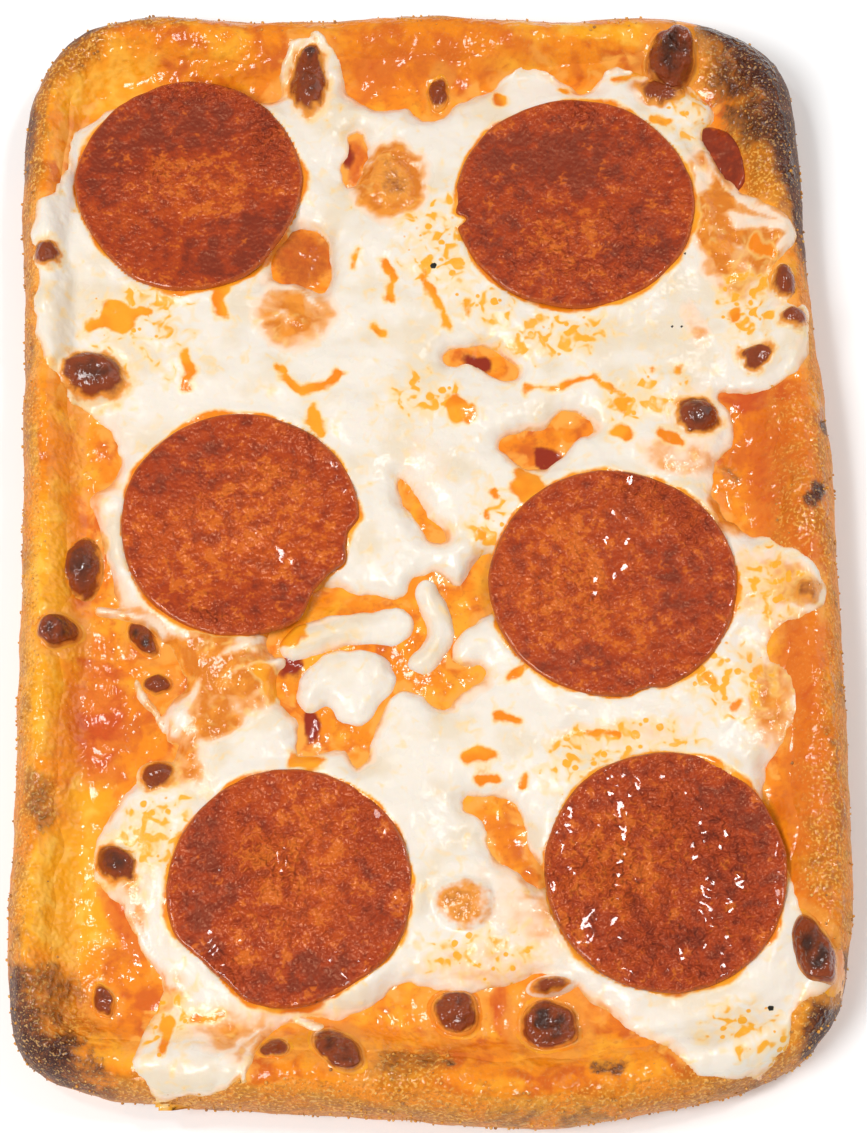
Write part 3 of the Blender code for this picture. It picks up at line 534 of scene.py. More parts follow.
def dough_top(x, y):
    """The height of the dough, and the share of the rim's width."""
    share = rim_share(x, y)
    height = rim_height(share)
    lumps = unevenness(x, y, (1, 13, 2), (0.5, 5, 3), (0.22, 2.4, 4)) * settings("dough").lumps / MM
    return height + rim_swell(x, y, height) + lumps * smoothstep(0.0, 0.25, share), share


def sauce_top(x, y):
    """The height of the sauce, and the same share of the rim's width."""
    sizes = settings("sauce")
    dough, share = dough_top(x, y)
    inner = (share - 0.72) * rim_width(x) + unevenness(x, y, (1.4, 9, 6))
    film = np.where(inner > 0.0, sizes.film / MM * (1.0 - np.exp(-inner / 2.0)), np.maximum(0.7 * inner, -1.5))
    lumps = unevenness(x, y, (1, 6, 7), (0.5, 2.2, 8)) * sizes.lumps / MM
    return dough + film + lumps * smoothstep(0.0, 3.0, inner), share


def tucked_top(x, y, sauce):
    """The height of the slice under the cheese, and how far inside its edge each point is."""
    inner = inside_distance(x, y, [TUCKED_LOOP])
    return sauce + np.where(inner > 0.0, 1.1 * (1.0 - np.exp(-inner / 0.5)), 2.0 * inner), inner


def ground_top(x, y):
    """The height of what the cheese and the toppings lie on."""
    sauce, _ = sauce_top(x, y)
    return np.maximum(np.maximum(sauce, dough_top(x, y)[0]), tucked_top(x, y, sauce)[0])


def slice_edge(angle, name):
    """How far out the edge of a slice is in a direction, as a share of its oval."""
    seed = list(SLICES).index(name) * 3.7
    edge = 1.0
    for height, count in ((0.010, 1.5), (0.005, 6.0)):
        edge = edge + unevenness(count * np.cos(angle), count * np.sin(angle), (height, 1, seed))
    for direction, width, depth in SLICES[name][6]:
        apart = np.abs((np.degrees(angle) - direction + 180.0) % 360.0 - 180.0)
        edge -= depth / 23.0 * (1.0 - smoothstep(0.2, 1.0, apart / width))
    return edge


def slice_share(x, y, name):
    """How far out each point is in a slice: 1 on its real edge."""
    oval = SLICES[name]
    angle = np.arctan2((y - oval[1]) / oval[3], (x - oval[0]) / oval[2])
    return oval_share(x, y, oval) / slice_edge(angle, name)


def slice_bed(x, y, sauce):
    """The height that the slices lie at."""
    return higher(sauce + 0.4, SLICE_LEVEL + unevenness(x, y, (0.35, 20, 9)), 1.2)


def cheese_top(x, y, inner, lip_width=None):
    """The height of cheese from how far inside its edge each point is."""
    sizes = settings("cheese")
    lip = lip_width or sizes.lip / MM
    sauce = ground_top(x, y)
    waves = unevenness(x, y, (1, 17, 5), (0.9, 7.5, 10), (0.14, 3.2, 11))
    level = higher(sauce + 1.0, sizes.level / MM + waves * sizes.waves / MM, 0.8)
    bed = slice_bed(x, y, sauce) - 0.25
    for name in SLICES:
        out = slice_share(x, y, name)
        raised = level + 0.25 * np.exp(-((out - 1.05) / 0.04) ** 2)
        hollow = bed + (raised - bed) * smoothstep(*HOLLOW, out)
        level = np.where(out < 1.3, hollow, level)
    thickness = level - sauce
    rounded = np.where(inner > 0.0, thickness * (1.0 - np.exp(-inner / lip)), np.maximum(1.3 * inner, -2.5))
    return sauce + rounded


# Meshes


def start_grid(name, columns, rows):
    """A grid from 0 to 1 each way, and where its points are in it."""
    bpy.ops.object.select_all(action="DESELECT")
    bpy.ops.mesh.primitive_grid_add(x_subdivisions=columns, y_subdivisions=rows, size=2.0, location=(0.0, 0.0, 0.0))
    made = bpy.context.object
    made.name = made.data.name = name
    u, v, _ = (read_numbers(made.data.vertices, "co").T + 1.0) / 2.0
    return made, u, v


def read_numbers(items, name):
    """A place or a direction of each vertex or face, as rows of three."""
    numbers = np.empty(3 * len(items), np.float32)
    items.foreach_get(name, numbers)
    return numbers.reshape(-1, 3).astype(float)


def set_points(made, x, y, z, fields):
    """Moves the points of a mesh, and keeps each field on it, for the materials."""
    made.data.vertices.foreach_set("co", (np.stack([x, y, z], axis=-1) * MM).astype(np.float32).ravel())
    for name, values in fields.items():
        values = np.broadcast_to(values, np.shape(x)).astype(np.float32)
        made.data.attributes.new(name, "FLOAT", "POINT").data.foreach_set("value", values)
    made.data.update()


def select_points(made, chosen):
    """Selects these points alone, and goes into edit mode."""
    mesh = made.data
    for items in (mesh.polygons, mesh.edges):
        items.foreach_set("select", np.zeros(len(items), bool))
    mesh.vertices.foreach_set("select", chosen)
    bpy.ops.object.mode_set(mode="EDIT")
    bpy.ops.mesh.select_mode(type="VERT")


def relief_sheet(name, reach, spacing, underside, shape):
    """A closed sheet: shape(x, y) gives the height of its top, where it is kept, and its fields."""
    left, right, front, back = reach
    made, u, v = start_grid(name, round((right - left) / spacing), round((back - front) / spacing))
    x, y = left + (right - left) * u, front + (back - front) * v
    height, kept, fields = shape(x, y)
    set_points(made, x, y, np.maximum(height, underside + 0.2), fields)
    select_points(made, ~kept)
    bpy.ops.mesh.delete(type="VERT")
    bpy.ops.mesh.select_non_manifold(
        extend=False, use_wire=False, use_boundary=True,
        use_multi_face=False, use_non_contiguous=False, use_verts=False,
    )
    bpy.ops.mesh.extrude_region_move()
    bpy.ops.object.mode_set(mode="OBJECT")
    vertices = made.data.vertices
    lower = np.empty(len(vertices), bool)
    vertices.foreach_get("select", lower)
    places = read_numbers(vertices, "co")
    places[lower, 2] = underside * MM
    vertices.foreach_set("co", places.astype(np.float32).ravel())
    bpy.ops.object.mode_set(mode="EDIT")
    bpy.ops.mesh.fill(use_beauty=False)
    close_mesh()
    return made


def rolled_grid(name, around, rings, shape):
    """A closed form of rings: shape(turn, ring) gives its points and fields, and both ends are poles."""
    made, u, v = start_grid(name, around, rings - 1)
    places, fields = shape(np.round(u * around).astype(int) % around, np.round(v * (rings - 1)).astype(int))
    set_points(made, *places, fields)
    bpy.ops.object.mode_set(mode="EDIT")
    bpy.ops.mesh.select_all(action="SELECT")
    bpy.ops.mesh.remove_doubles(threshold=1e-7)
    close_mesh()
    return made


def close_mesh():
    """Turns the faces outwards, smooths them and leaves edit mode."""
    bpy.ops.mesh.select_all(action="SELECT")
    bpy.ops.mesh.normals_make_consistent(inside=False)
    bpy.ops.object.mode_set(mode="OBJECT")
    bpy.ops.object.shade_smooth()


def keep_piece(made, nodes, finish):
    """Gives a piece its material, hides the CAD parts that it stands for, and hangs it under the root."""
    made.data.materials.clear()
    made.data.materials.append(finish)
    for node in nodes:
        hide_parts(node)
    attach(made, "root")


# Materials. A pattern is given by its size in millimetres and, after that, what NOISE lists from its detail on.

NOISE = ("Vector", "Scale", "Detail", "Roughness", "Distortion")


def add(tree, kind, inputs=(), out=0, **own):
    """Adds a shader node with its own settings and its inputs, and gives one output.

    An input is a socket to link, a value, or a colour as sRGB hex.
    """
    made = tree.nodes.new("ShaderNode" + kind)
    for name, value in own.items():
        setattr(made, name, value)
    for key, value in dict(inputs).items():
        if isinstance(value, bpy.types.NodeSocket):
            tree.links.new(value, made.inputs[key])
        else:
            made.inputs[key].default_value = linear(value) if isinstance(value, str) else value
    return made.outputs[out]


def new_finish(name):
    """A material with no nodes but the place on the object, which it gives too."""
    finish = bpy.data.materials.new(name)
    finish.use_nodes = True
    finish.node_tree.nodes.clear()
    return finish, finish.node_tree, add(finish.node_tree, "TexCoord", out=3)


def sum_of(tree, *terms):
    """Adds up values. A term is a value, or a value and its weight, which may be a value too."""
    total = 0.0
    for term in terms:
        value, weight = term if isinstance(term, tuple) else (term, 1.0)
        total = add(tree, "Math", {0: value, 1: weight, 2: total}, operation="MULTIPLY_ADD")
    return total


def cover(tree, low, high, *terms):
    """How far something covers a place: not at all where the terms add up to low, and wholly where to high."""
    return add(tree, "MapRange", {0: sum_of(tree, *terms), 1: low, 2: high}, interpolation_type="SMOOTHSTEP")


def coated(tree, base, *coats):
    """A colour with coats over it, each how far it covers and its colour."""
    for covers, over in coats:
        base = add(tree, "Mix", {0: covers, 6: base, 7: over}, 2, data_type="RGBA", clamp_factor=True)
    return base


def finish_surface(tree, surface, roughness, bump, depth, constants):
    """Ends a material: its colour, roughness, bump in millimetres, and constants for the shader's own sockets."""
    normal = add(tree, "Bump", {"Strength": 1.0, "Distance": depth * MM, "Height": bump})
    inputs = {"Base Color": surface, "Roughness": roughness, "Normal": normal, **constants}
    shader = add(tree, "BsdfPrincipled", inputs)
    tree.links.new(shader, tree.nodes.new("ShaderNodeOutputMaterial").inputs[0])


def oiled_surface(name, sauce):
    """Baked wheat dough or tomato sauce, under the orange oil that ran out over both.

    Dry dough is dull and grainy. Where oil lies it is smooth, bright orange and wet. Char is black-brown and glitters.
    """
    dough, liquid, cheese = settings("dough"), settings("sauce"), settings("cheese")
    finish, tree, place = new_finish(name)
    fine, grit, patchy, broad, lace, lumps, ripple = (
        add(tree, "TexNoise", dict(zip(NOISE, (place, 1000 / size, *own)))) for size, *own in (
            (1.2, 2, 0.6), (0.6, 1), (5, 3, 0.5, 0.4), (14, 3), (4.5, 3, 0.5, 0.7), (3.6, 1.5, 0.5, 0.3),
            (1.2, 0.5),
        )
    )
    oily, charred, browned, yellow, reddened, gap_shade, ring, film = (
        add(tree, "Attribute", out=2, attribute_name=part)
        for part in ("oil", "char", "toast", "gold", "red", "deep", "ring", "film")
    )
    uneven = sum_of(tree, patchy, (fine, 0.5))
    oil = cover(tree, 0.85, 1.2, oily, (uneven, 0.8))
    toast = cover(tree, 1.15, 2.05, browned, (uneven, 1.1), (grit, 0.3))
    char = cover(tree, 1.6, 2.15, charred, (uneven, 1.1), (grit, 0.5))
    pool = coated(
        tree, liquid.oil,
        (cover(tree, 0.55, 0.78, (lumps, 0.5), (broad, 0.7)), "#F6A42A"),
        (cover(tree, 0.08, 0.26, (patchy, 0.7), (broad, -0.5)), liquid.oil_dark),
        (sum_of(tree, (cover(tree, 0.52, 0.75, fine), 0.4)), "#C2641E"),
    )
    surface = coated(
        tree, dough.crumb,
        (cover(tree, 0.45, 0.7, patchy), dough.pale),
        (cover(tree, 0.5, 0.75, fine), dough.toasted),
        (oil, pool),
        (cover(tree, 0.9, 1.1, (film, 0.5), lace), "#F2A040"),
        (cover(tree, 0.7, 1.5, yellow, (uneven, 0.7)),
         coated(tree, dough.golden, (cover(tree, 0.45, 0.7, lumps), "#F9BA44"))),
        (cover(tree, 0.75, 1.5, reddened, (uneven, 0.7)),
         coated(tree, liquid.tomato, (cover(tree, 0.36, 0.6, patchy), "#DE7422"))),
        # Painted shade: dark sauce deep in the cheese's gaps, from the deep attribute
        (cover(tree, 0.6, 1.15, gap_shade, (uneven, 0.4)), liquid.shade_in_gaps),
        (toast, coated(
            tree, dough.toasted, (cover(tree, 0.45, 0.66, grit), "#E29C3A"),
            (cover(tree, 0.55, 0.8, (broad, 0.6), (patchy, 0.5)), "#8E4E2A"),
        )),
        (cover(tree, 1.0, 1.6, charred, (uneven, 0.9)),
         coated(tree, "#763F26", (cover(tree, 0.5, 0.7, patchy), "#AC6A30"))),
        (char, coated(tree, dough.char, (cover(tree, 0.55, 0.75, grit), "#8A5234"))),
        (ring, cheese.gold),
    )
    if not sauce:
        matt = add(tree, "MapRange", {0: sum_of(tree, oil, (toast, -0.7)), 3: 0.4, 4: 0.08})
        surface = coated(
            tree, surface,
            (sum_of(tree, (cover(tree, 0.56, 0.7, grit), matt)), "#F8C878"),
            (sum_of(tree, (cover(tree, 0.44, 0.3, grit), matt)), "#96561E"),
        )
    rough_relief = sum_of(tree, (fine, 0.4), (grit, 0.15), (patchy, 0.3))
    glitter = sum_of(tree, (ripple, sum_of(tree, (broad, 0.8), (browned, 0.6), (char, 0.4))))
    calm = add(tree, "MapRange", {0: film, 3: 1.0, 4: 0.35})
    smooth_relief = sum_of(tree, (calm, sum_of(tree, (lumps, 0.5), (glitter, 0.7))))
    bump = add(tree, "Mix", {0: oil, 2: rough_relief, 3: smooth_relief}, data_type="FLOAT")
    roughness = add(tree, "MapRange", {0: oil, 3: 0.5, 4: 0.14})
    finish_surface(tree, surface, roughness, bump, 1.1, {"IOR": 1.47 if sauce else 1.38})
    return finish


def melted_mozzarella(name):
    """Low-moisture mozzarella, melted: smooth, cream white, wet and a little translucent.

    Orange oil lies on it in flat pools and fine drops, and it browns in stages from gold to nearly black.
    """
    cheese, liquid = settings("cheese"), settings("sauce")
    finish, tree, place = new_finish(name)
    fine, soft, broad, lace, spots = (
        add(tree, "TexNoise", dict(zip(NOISE, (place, 1000 / size, *own)))) for size, *own in (
            (1.3, 1), (3.2, 1.5), (11, 2), (4.5, 2, 0.45, 0.6), (2.5, 1, 0.5, 0.6),
        )
    )
    oily, browned, thinned, speckled, black = (
        add(tree, "Attribute", out=2, attribute_name=part) for part in ("oil", "brown", "thin", "specks", "black")
    )
    # Round drops about 1 mm wide, some larger than others
    bead, which = (add(tree, "TexVoronoi", {"Vector": place, "Scale": 1000 / 2.6}, out) for out in (0, 1))
    beads = sum_of(
        tree, (speckled, 0.75), (add(tree, "SeparateColor", {0: which}), 0.5), (bead, -1.6), (fine, 0.3)
    )
    pool = sum_of(tree, oily, (soft, 0.6), (fine, 0.22))
    spill = sum_of(tree, (speckled, 0.26), spots, (fine, 0.08), (broad, 0.2))
    oil = cover(tree, 0.8, 1.04, pool)
    drops, stain = (
        add(tree, "Math", {0: one, 1: other}, operation="MAXIMUM") for one, other in (
            (cover(tree, 0.92, 1.04, spill), cover(tree, 0.72, 0.86, beads)),
            (cover(tree, 0.6, 0.88, pool), cover(tree, 0.66, 1.0, spill)),
        )
    )
    shown = sum_of(tree, (thinned, sum_of(tree, (lace, 1.6), (soft, 0.5))))
    brown = sum_of(tree, browned, (soft, 0.3), (fine, 0.2))
    surface = coated(
        tree, cheese.cream,
        (cover(tree, 0.46, 0.66, broad), cheese.warm),
        (cover(tree, 0.12, 0.5, shown), "#F3D6BA"),
        (cover(tree, 0.45, 0.85, shown), cheese.thin),
        (cover(tree, 0.8, 1.15, shown), coated(tree, "#D87C22", (cover(tree, 0.45, 0.65, soft), "#EA9230"))),
        (sum_of(tree, (stain, 0.6)), "#F8CE78"),
        (drops, "#F4AC30"),
        (oil, coated(
            tree, liquid.oil, (cover(tree, 0.42, 0.56, broad), "#F5A024"),
            (cover(tree, 0.58, 0.7, broad), "#DE7414"),
        )),
        (cover(tree, 0.38, 0.58, brown), cheese.gold),
        (cover(tree, 0.56, 0.82, brown), cheese.brown),
        (cover(tree, 0.98, 1.4, brown), cheese.dark),
        (cover(tree, 0.45, 0.55, black), "#1C1A12"),
    )
    wet = sum_of(tree, (oil, 0.7), (cover(tree, 0.45, 0.7, brown), 0.5), (shown, 0.4), (soft, 0.35))
    roughness = add(tree, "MapRange", {0: wet, 1: 0.1, 2: 1.0, 3: 0.3, 4: 0.12})
    creased = sum_of(tree, (shown, 0.15), (cover(tree, 0.5, 0.8, brown), 0.5))
    wrinkled = sum_of(tree, (fine, 0.05), (fine, creased))
    calm = add(tree, "MapRange", {0: oil, 3: 1.0, 4: 0.3})
    finish_surface(tree, surface, roughness, sum_of(tree, (soft, 0.4), (wrinkled, calm)), 1.0, {
        "IOR": 1.44, "Subsurface Weight": 0.3, "Subsurface Radius": (1.0, 0.75, 0.5), "Subsurface Scale": 0.002,
    })
    return finish


def baked_pepperoni(name, orange):
    """Cured pork sausage, sliced and baked: red-brown lean with orange flecks of fat, glossy with its own oil.

    Its fine pits and bumps catch the light as small sharp sparkles.
    """
    meat = settings("pepperoni")
    finish, tree, place = new_finish(name)
    grainy, fine, finer, broad = (
        add(tree, "TexNoise", dict(zip(NOISE, (place, 1000 / size, *own)))) for size, *own in (
            (2.8, 3.5, 0.58), (1.2, 0.6, 0.5, 0.3), (0.7, 0.5), (9, 3),
        )
    )
    # The flecks are cells of 1 to 3 mm, pulled out of shape
    pull = add(tree, "TexNoise", {"Vector": place, "Scale": 1000 / 3.0}, 1)
    pull = add(tree, "VectorMath", {0: pull, "Scale": 2.2 * MM}, operation="SCALE")
    moved = add(tree, "VectorMath", {0: place, 1: pull}, operation="ADD")
    cells = {"Vector": moved, "Scale": 1000 / 2.6, "Smoothness": 0.35}
    chunk = add(tree, "TexVoronoi", cells, 1, feature="SMOOTH_F1")
    small = add(tree, "TexVoronoi", {"Vector": moved, "Scale": 1000 / 1.3}, feature="SMOOTH_F1")
    chance = add(tree, "SeparateColor", {0: chunk})
    out, wet, dull, fatty = (
        add(tree, "Attribute", out=2, attribute_name=part) for part in ("out", "wet", "dull", "fatty")
    )
    mottle = sum_of(tree, (grainy, 1.7), (broad, 0.8), (fatty, 0.4), (dull, -0.4), (orange, 0.15))
    fat = cover(tree, 1.1, 1.36, (chance, 0.4), (finer, 0.4), (grainy, 1.2), (fatty, 0.22), (dull, -0.1))
    surface = coated(
        tree, meat.lean,
        (cover(tree, 1.1, 1.9, mottle), meat.bright),
        (sum_of(tree, (cover(tree, 1.25, 0.8, mottle), 0.85)), meat.deep),
        (sum_of(tree, (cover(tree, 0.74, 0.5, (chance, 0.4), (grainy, 1.2)), 0.35)), "#6E2414"),
        (sum_of(tree, (fat, 0.6)), meat.fat),
        (cover(tree, 0.975, 1.01, out, (grainy, 0.03)), "#B2501A"),
    )
    roughness = add(tree, "MapRange", {0: dull, 3: 0.24, 4: 0.4})
    clustered = add(tree, "MapRange", {0: broad, 1: 0.35, 2: 0.65, 3: 0.6, 4: 1.3})
    relief = sum_of(tree, (fine, 0.7), (finer, 0.55), (small, 0.2))
    bump = sum_of(tree, (relief, sum_of(tree, (wet, clustered))))
    finish_surface(tree, surface, roughness, bump, 1.25, {
        "IOR": 1.46, "Specular IOR Level": 0.55, "Specular Tint": "#FFC49A",
        "Coat Weight": 0.45, "Coat Roughness": 0.05,
    })
    return finish


def toasted_semolina(name):
    """Coarse semolina from the peel, toasted: small dull yellow-brown grains."""
    finish, tree, place = new_finish(name)
    which, fine = (
        add(tree, "TexNoise", dict(zip(NOISE, (place, 1000 / size, *own)))) for size, *own in ((2, 2), (0.3, 1))
    )
    surface = coated(
        tree, settings("dough").semolina, (cover(tree, 0.5, 0.65, which), "#A8713A"),
        (cover(tree, 0.45, 0.35, which), "#EBB966"),
    )
    finish_surface(tree, surface, 0.55, fine, 0.1, {"IOR": 1.45})
    return finish


# Pieces


def surface_fields(x, y, share, sauce):
    """What the dough and the sauce have on them."""
    warp_x, warp_y = wandering(x, y, 21, (1.2, 7), (0.5, 2.5))
    dry = 0.16 + 0.2 * smoothstep(-60.0, -76.0, x) + 0.1 * smoothstep(-98.0, -107.0, y)
    oil = smoothstep(dry - 0.1, dry + 0.16, share + unevenness(x, y, (0.08, 10, 25)))
    ring = np.zeros(x.shape)
    for blister in BLISTERS.values():
        out = oval_share(warp_x, warp_y, blister)
        ring = np.maximum(ring, smoothstep(0.88, 1.0, out) * (1.0 - smoothstep(1.5, 1.7, out)))
    # The deep attribute holds painted shade in the cheese's gaps
    fields = {"char": CHARRED, "toast": BROWNED, "gold": GOLDEN, "red": REDDENED, "deep": SHADED_GAPS}
    return {
        **{name: marked(warp_x, warp_y, marks) for name, marks in fields.items()},
        "oil": np.ones(x.shape) if sauce else oil,
        "ring": 0.6 * ring,
        "film": 1.0 - smoothstep(0.0, 7.0, -inside_distance(warp_x, warp_y, CHEESE_LOOPS)),
    }


class PIZZA_OT_dough(bpy.types.Operator):
    """Models the dough: a puffed rim, rolled round the outline from its underside to the floor."""

    bl_idname = "pizza.dough"
    bl_label = "Dough"

    def execute(self, context):
        around, rings = 880, 46
        loop = evenly(OUTLINE, around)
        along = np.roll(loop, -1, axis=0) - np.roll(loop, 1, axis=0)
        along /= np.hypot(*along.T)[:, None]
        inward = np.stack([-along[:, 1], along[:, 0]], axis=-1)
        for _ in range(24):
            inward = (np.roll(inward, 1, axis=0) + 2.0 * inward + np.roll(inward, -1, axis=0)) / 4.0
        inward /= np.hypot(*inward.T)[:, None]
        true_size = (16.0, 18.0)  # the profile's points are spaced evenly at this width and height
        profile = evenly(PROFILE * true_size, rings - 2, closed=False) / true_size
        crest = settings("dough").crest / MM

        def shape(turn, ring):
            middle = (ring == 0) | (ring == rings - 1)
            inset, height = profile[np.clip(ring - 1, 0, rings - 3)].T
            base, inwards = loop[turn] + INSET * inward[turn], inward[turn]
            x, y = (base + inwards * (inset * rim_width(base[:, 0]))[:, None]).T
            z = height * crest
            side = (1.0 - smoothstep(0.3, 0.5, inset)) * smoothstep(0.0, 2.0, z)
            bulge = unevenness(x, y, (0.28, 9, 31), (0.14, 3.2, 32), (0.06, 1.4, 33), z=z)
            bulge = np.clip(bulge, -0.6, INSET - 0.05) * side
            x, y = x - inwards[:, 0] * bulge, y - inwards[:, 1] * bulge
            top, share = dough_top(x, y)
            swell = rim_swell(x, y, z)
            lumps = (z / crest) ** 3 * (top - rim_height(share) - swell)
            upper = (ring - 1 >= np.argmax(profile[:, 1])) & ~middle
            z = np.where(upper, top, z + swell + lumps * smoothstep(0.05, 0.4, inset) * (height > 0.5))
            seen = (height >= 0.5) & ~middle
            fields = surface_fields(x, y, share * seen, False)
            fields["oil"] *= seen
            fields["char"] *= 0.5 + 0.5 * smoothstep(4.0, 13.0, z)
            fields["char"][height < 0.2] = 0.25
            fields["toast"] = np.maximum(fields["toast"], 0.35 * (height < 0.45))
            z = np.where(middle, np.where(ring == 0, 0.0, 10.0), np.maximum(z, 0.0))
            return (x * ~middle, y * ~middle, z), fields

        made = rolled_grid("baked_dough", around, rings, shape)
        keep_piece(made, ["crust"], oiled_surface("Baked wheat dough, oiled", False))
        return {"FINISHED"}


class PIZZA_OT_sauce(bpy.types.Operator):
    """Models the sauce: a thin sheet that fills the floor and runs out on the rim."""

    bl_idname = "pizza.sauce"
    bl_label = "Sauce"

    def execute(self, context):
        underside = 9.0

        def shape(x, y):
            height, share = sauce_top(x, y)
            return height, (share > 0.52) & (height > underside), surface_fields(x, y, share, True)

        made = relief_sheet("tomato_sauce", (-82.0, 84.0, -116.0, 116.0), 0.9, underside, shape)
        keep_piece(made, ["sauce"], oiled_surface("Tomato sauce under orange oil", True))
        return {"FINISHED"}


def cheese_fields(x, y, inner):
    """What lies in and on the cheese: oil, browning, thin places and specks."""
    warp_x, warp_y = wandering(x, y, 41, (0.9, 5), (0.5, 2))
    oil = drawn(warp_x, warp_y, OIL_STROKES, 1.5)
    brown, black = np.zeros(x.shape), np.zeros(x.shape)
    for bubble in BUBBLES:
        out = oval_share(warp_x, warp_y, bubble)
        brown = np.maximum(brown, bubble[6] * (1.0 - smoothstep(0.3, 1.5, out)))
        if bubble[6] > 0.7:
            oil = np.maximum(oil, 0.42 * smoothstep(1.9, 1.2, out))
    for name in SLICES:
        out = slice_share(x, y, name)
        width = 0.05 + unevenness(x, y, (0.08, 9, 45))
        ring = (out > 0.9) * (out < 1.3) * (1.0 - smoothstep(1.0, 1.0 + np.maximum(width, 0.01), out))
        oil = np.maximum(oil, 0.68 * ring)
    oil = np.maximum(oil, 0.62 * (1.0 - smoothstep(-0.4, 0.5, inner)))
    covered = 0.6 * smoothstep(0.35, 0.9, drawn(warp_x, warp_y, STRANDS, 1.5))
    fringe = 1.0 + 3.5 * np.clip(unevenness(x, y, (1, 13, 46)) + 0.15, 0.0, 1.0)
    thin = np.maximum(
        marked(warp_x, warp_y, THIN_CHEESE) * (1.0 - covered), 0.75 * (1.0 - smoothstep(-0.2, 1.0, inner / fringe))
    )
    for speck_x, speck_y, radius in SPECKS:
        black = np.maximum(black, 0.5 + radius - np.hypot(x - speck_x, y - speck_y))
    return {"oil": oil, "brown": brown, "thin": thin, "specks": marked(warp_x, warp_y, SPECKLED), "black": black}


class PIZZA_OT_cheese(bpy.types.Operator):
    """Models the melted cheese: one sheet with lobes, openings and bubbles, hollowed under the slices."""

    bl_idname = "pizza.cheese"
    bl_label = "Cheese"

    def execute(self, context):
        def shape(x, y):
            wander = unevenness(x, y, (0.75, 5.5, 12), (0.3, 2.2, 13))
            strands = 4.0 * drawn(x + wander, y, STRANDS, 2.0) - 2.0
            inner = np.maximum(inside_distance(x, y, CHEESE_LOOPS) + wander, strands)
            for bubble in BUBBLES:
                inner = np.maximum(inner, 3.0 * (1.2 - oval_share(x + 0.4 * wander, y, bubble)))
            height = cheese_top(x, y, inner) + folds(x + wander, y) * smoothstep(-0.5, 0.5, inner)
            for bubble in BUBBLES:
                out = oval_share(x, y, bubble) * (1.0 + unevenness(x, y, (0.06, 3, 14)))
                rise = np.sqrt(np.maximum(1.0 - out * out, 0.0)) - 0.12 * np.exp(-((out - 1.15) / 0.18) ** 2)
                height += bubble[5] * rise * (1.0 + unevenness(x, y, (0.1, 1.6, 15)))
            return height, inner > -1.3, cheese_fields(x, y, inner)

        made = relief_sheet("melted_cheese", (-80.0, 81.5, -113.0, 110.0), 0.62, 9.6, shape)
        keep_piece(made, ["cheese"], melted_mozzarella("Melted mozzarella"))
        return {"FINISHED"}


class PIZZA_OT_shreds(bpy.types.Operator):
    """Models the pieces of cheese that lie loose in the sauce."""

    bl_idname = "pizza.shreds"
    bl_label = "Loose cheese"

    def execute(self, context):
        finish = melted_mozzarella("Melted mozzarella, loose pieces")
        margin = 2.0
        for name, outline in SHREDS.items():
            loop = smooth_curve(outline, steps=4)

            def shape(x, y):
                inner = inside_distance(x, y, [loop]) + 0.5 + unevenness(x, y, (0.3, 3, 51))
                height = cheese_top(x, y, inner, 1.2) - 0.6 * smoothstep(0.0, 1.5, inner)
                return height, inner > -1.0, cheese_fields(x, y, inner + 0.7)

            (left, front), (right, back) = loop.min(axis=0) - margin, loop.max(axis=0) + margin
            made = relief_sheet("melted_" + name, (left, right, front, back), 0.4, 9.8, shape)
            keep_piece(made, [name], finish)
        return {"FINISHED"}


class PIZZA_OT_pepperoni(bpy.types.Operator):
    """Models the pepperoni slices, each with a rounded edge that stands up a little, and the one tucked under."""

    bl_idname = "pizza.pepperoni"
    bl_label = "Pepperoni"

    def execute(self, context):
        sizes = settings("pepperoni")
        thickness, curl = sizes.thickness / MM, sizes.curl / MM
        around, rings = 264, 46
        # From the middle of the top, round the edge and back under: how far out, and how high in the slice
        profile = np.array([
            *((share, 1.0) for share in np.linspace(0.0, 1.0, 29) ** 0.85 * 0.955),
            *((0.965 + 0.035 * math.sin(a), 0.5 + 0.5 * math.cos(a)) for a in np.linspace(0.0, math.pi, 11)),
            *((share, 0.0) for share in np.linspace(0.93, 0.0, 6)),
        ])
        for name, oval in SLICES.items():
            def shape(turn, ring):
                angle = 2.0 * np.pi * turn / around
                out, level = profile[ring].T
                edge = slice_edge(angle, name) * out
                x, y = oval[0] + oval[2] * edge * np.cos(angle), oval[1] + oval[3] * edge * np.sin(angle)
                standing = curl * (out ** 5 - 0.25) + unevenness(x, y, (0.25, 11, 61))
                relief = unevenness(x, y, (0.14, 3.2, 62), (0.08, 1.5, 63))
                z = slice_bed(x, y, ground_top(x, y)) + standing + level * (thickness + relief) - 0.1
                warped = wandering(x, y, 65, (1.5, 5))
                shining, dull, fatty = (marked(*warped, marks) for marks in (GLISTENING, DULL, FATTY))
                wet = 0.36 + 0.4 * oval[7] + 0.7 * shining
                return (x, y, z), {"out": out, "wet": wet, "dull": dull, "fatty": fatty}

            made = rolled_grid("baked_" + name, around, rings, shape)
            place = name.split("_", 1)[1].replace("_", " ")
            keep_piece(made, [name], baked_pepperoni("Baked pepperoni, " + place, oval[5]))

        def tucked(x, y):
            height, inner = tucked_top(x, y, sauce_top(x, y)[0])
            # Dull all over, so its meat is painted dark: painted shade under the cheese's edge
            fields = {"out": 0.9, "wet": 0.2, "dull": 1.0, "fatty": 0.0}
            return height + unevenness(x, y, (0.1, 2, 64)), inner > -0.8, fields

        made = relief_sheet("baked_pepperoni_tucked", (56.0, 69.5, 70.0, 90.0), 0.45, 10.5, tucked)
        keep_piece(made, ["pepperoni_tucked"], baked_pepperoni("Baked pepperoni, tucked", 0.1))
        return {"FINISHED"}


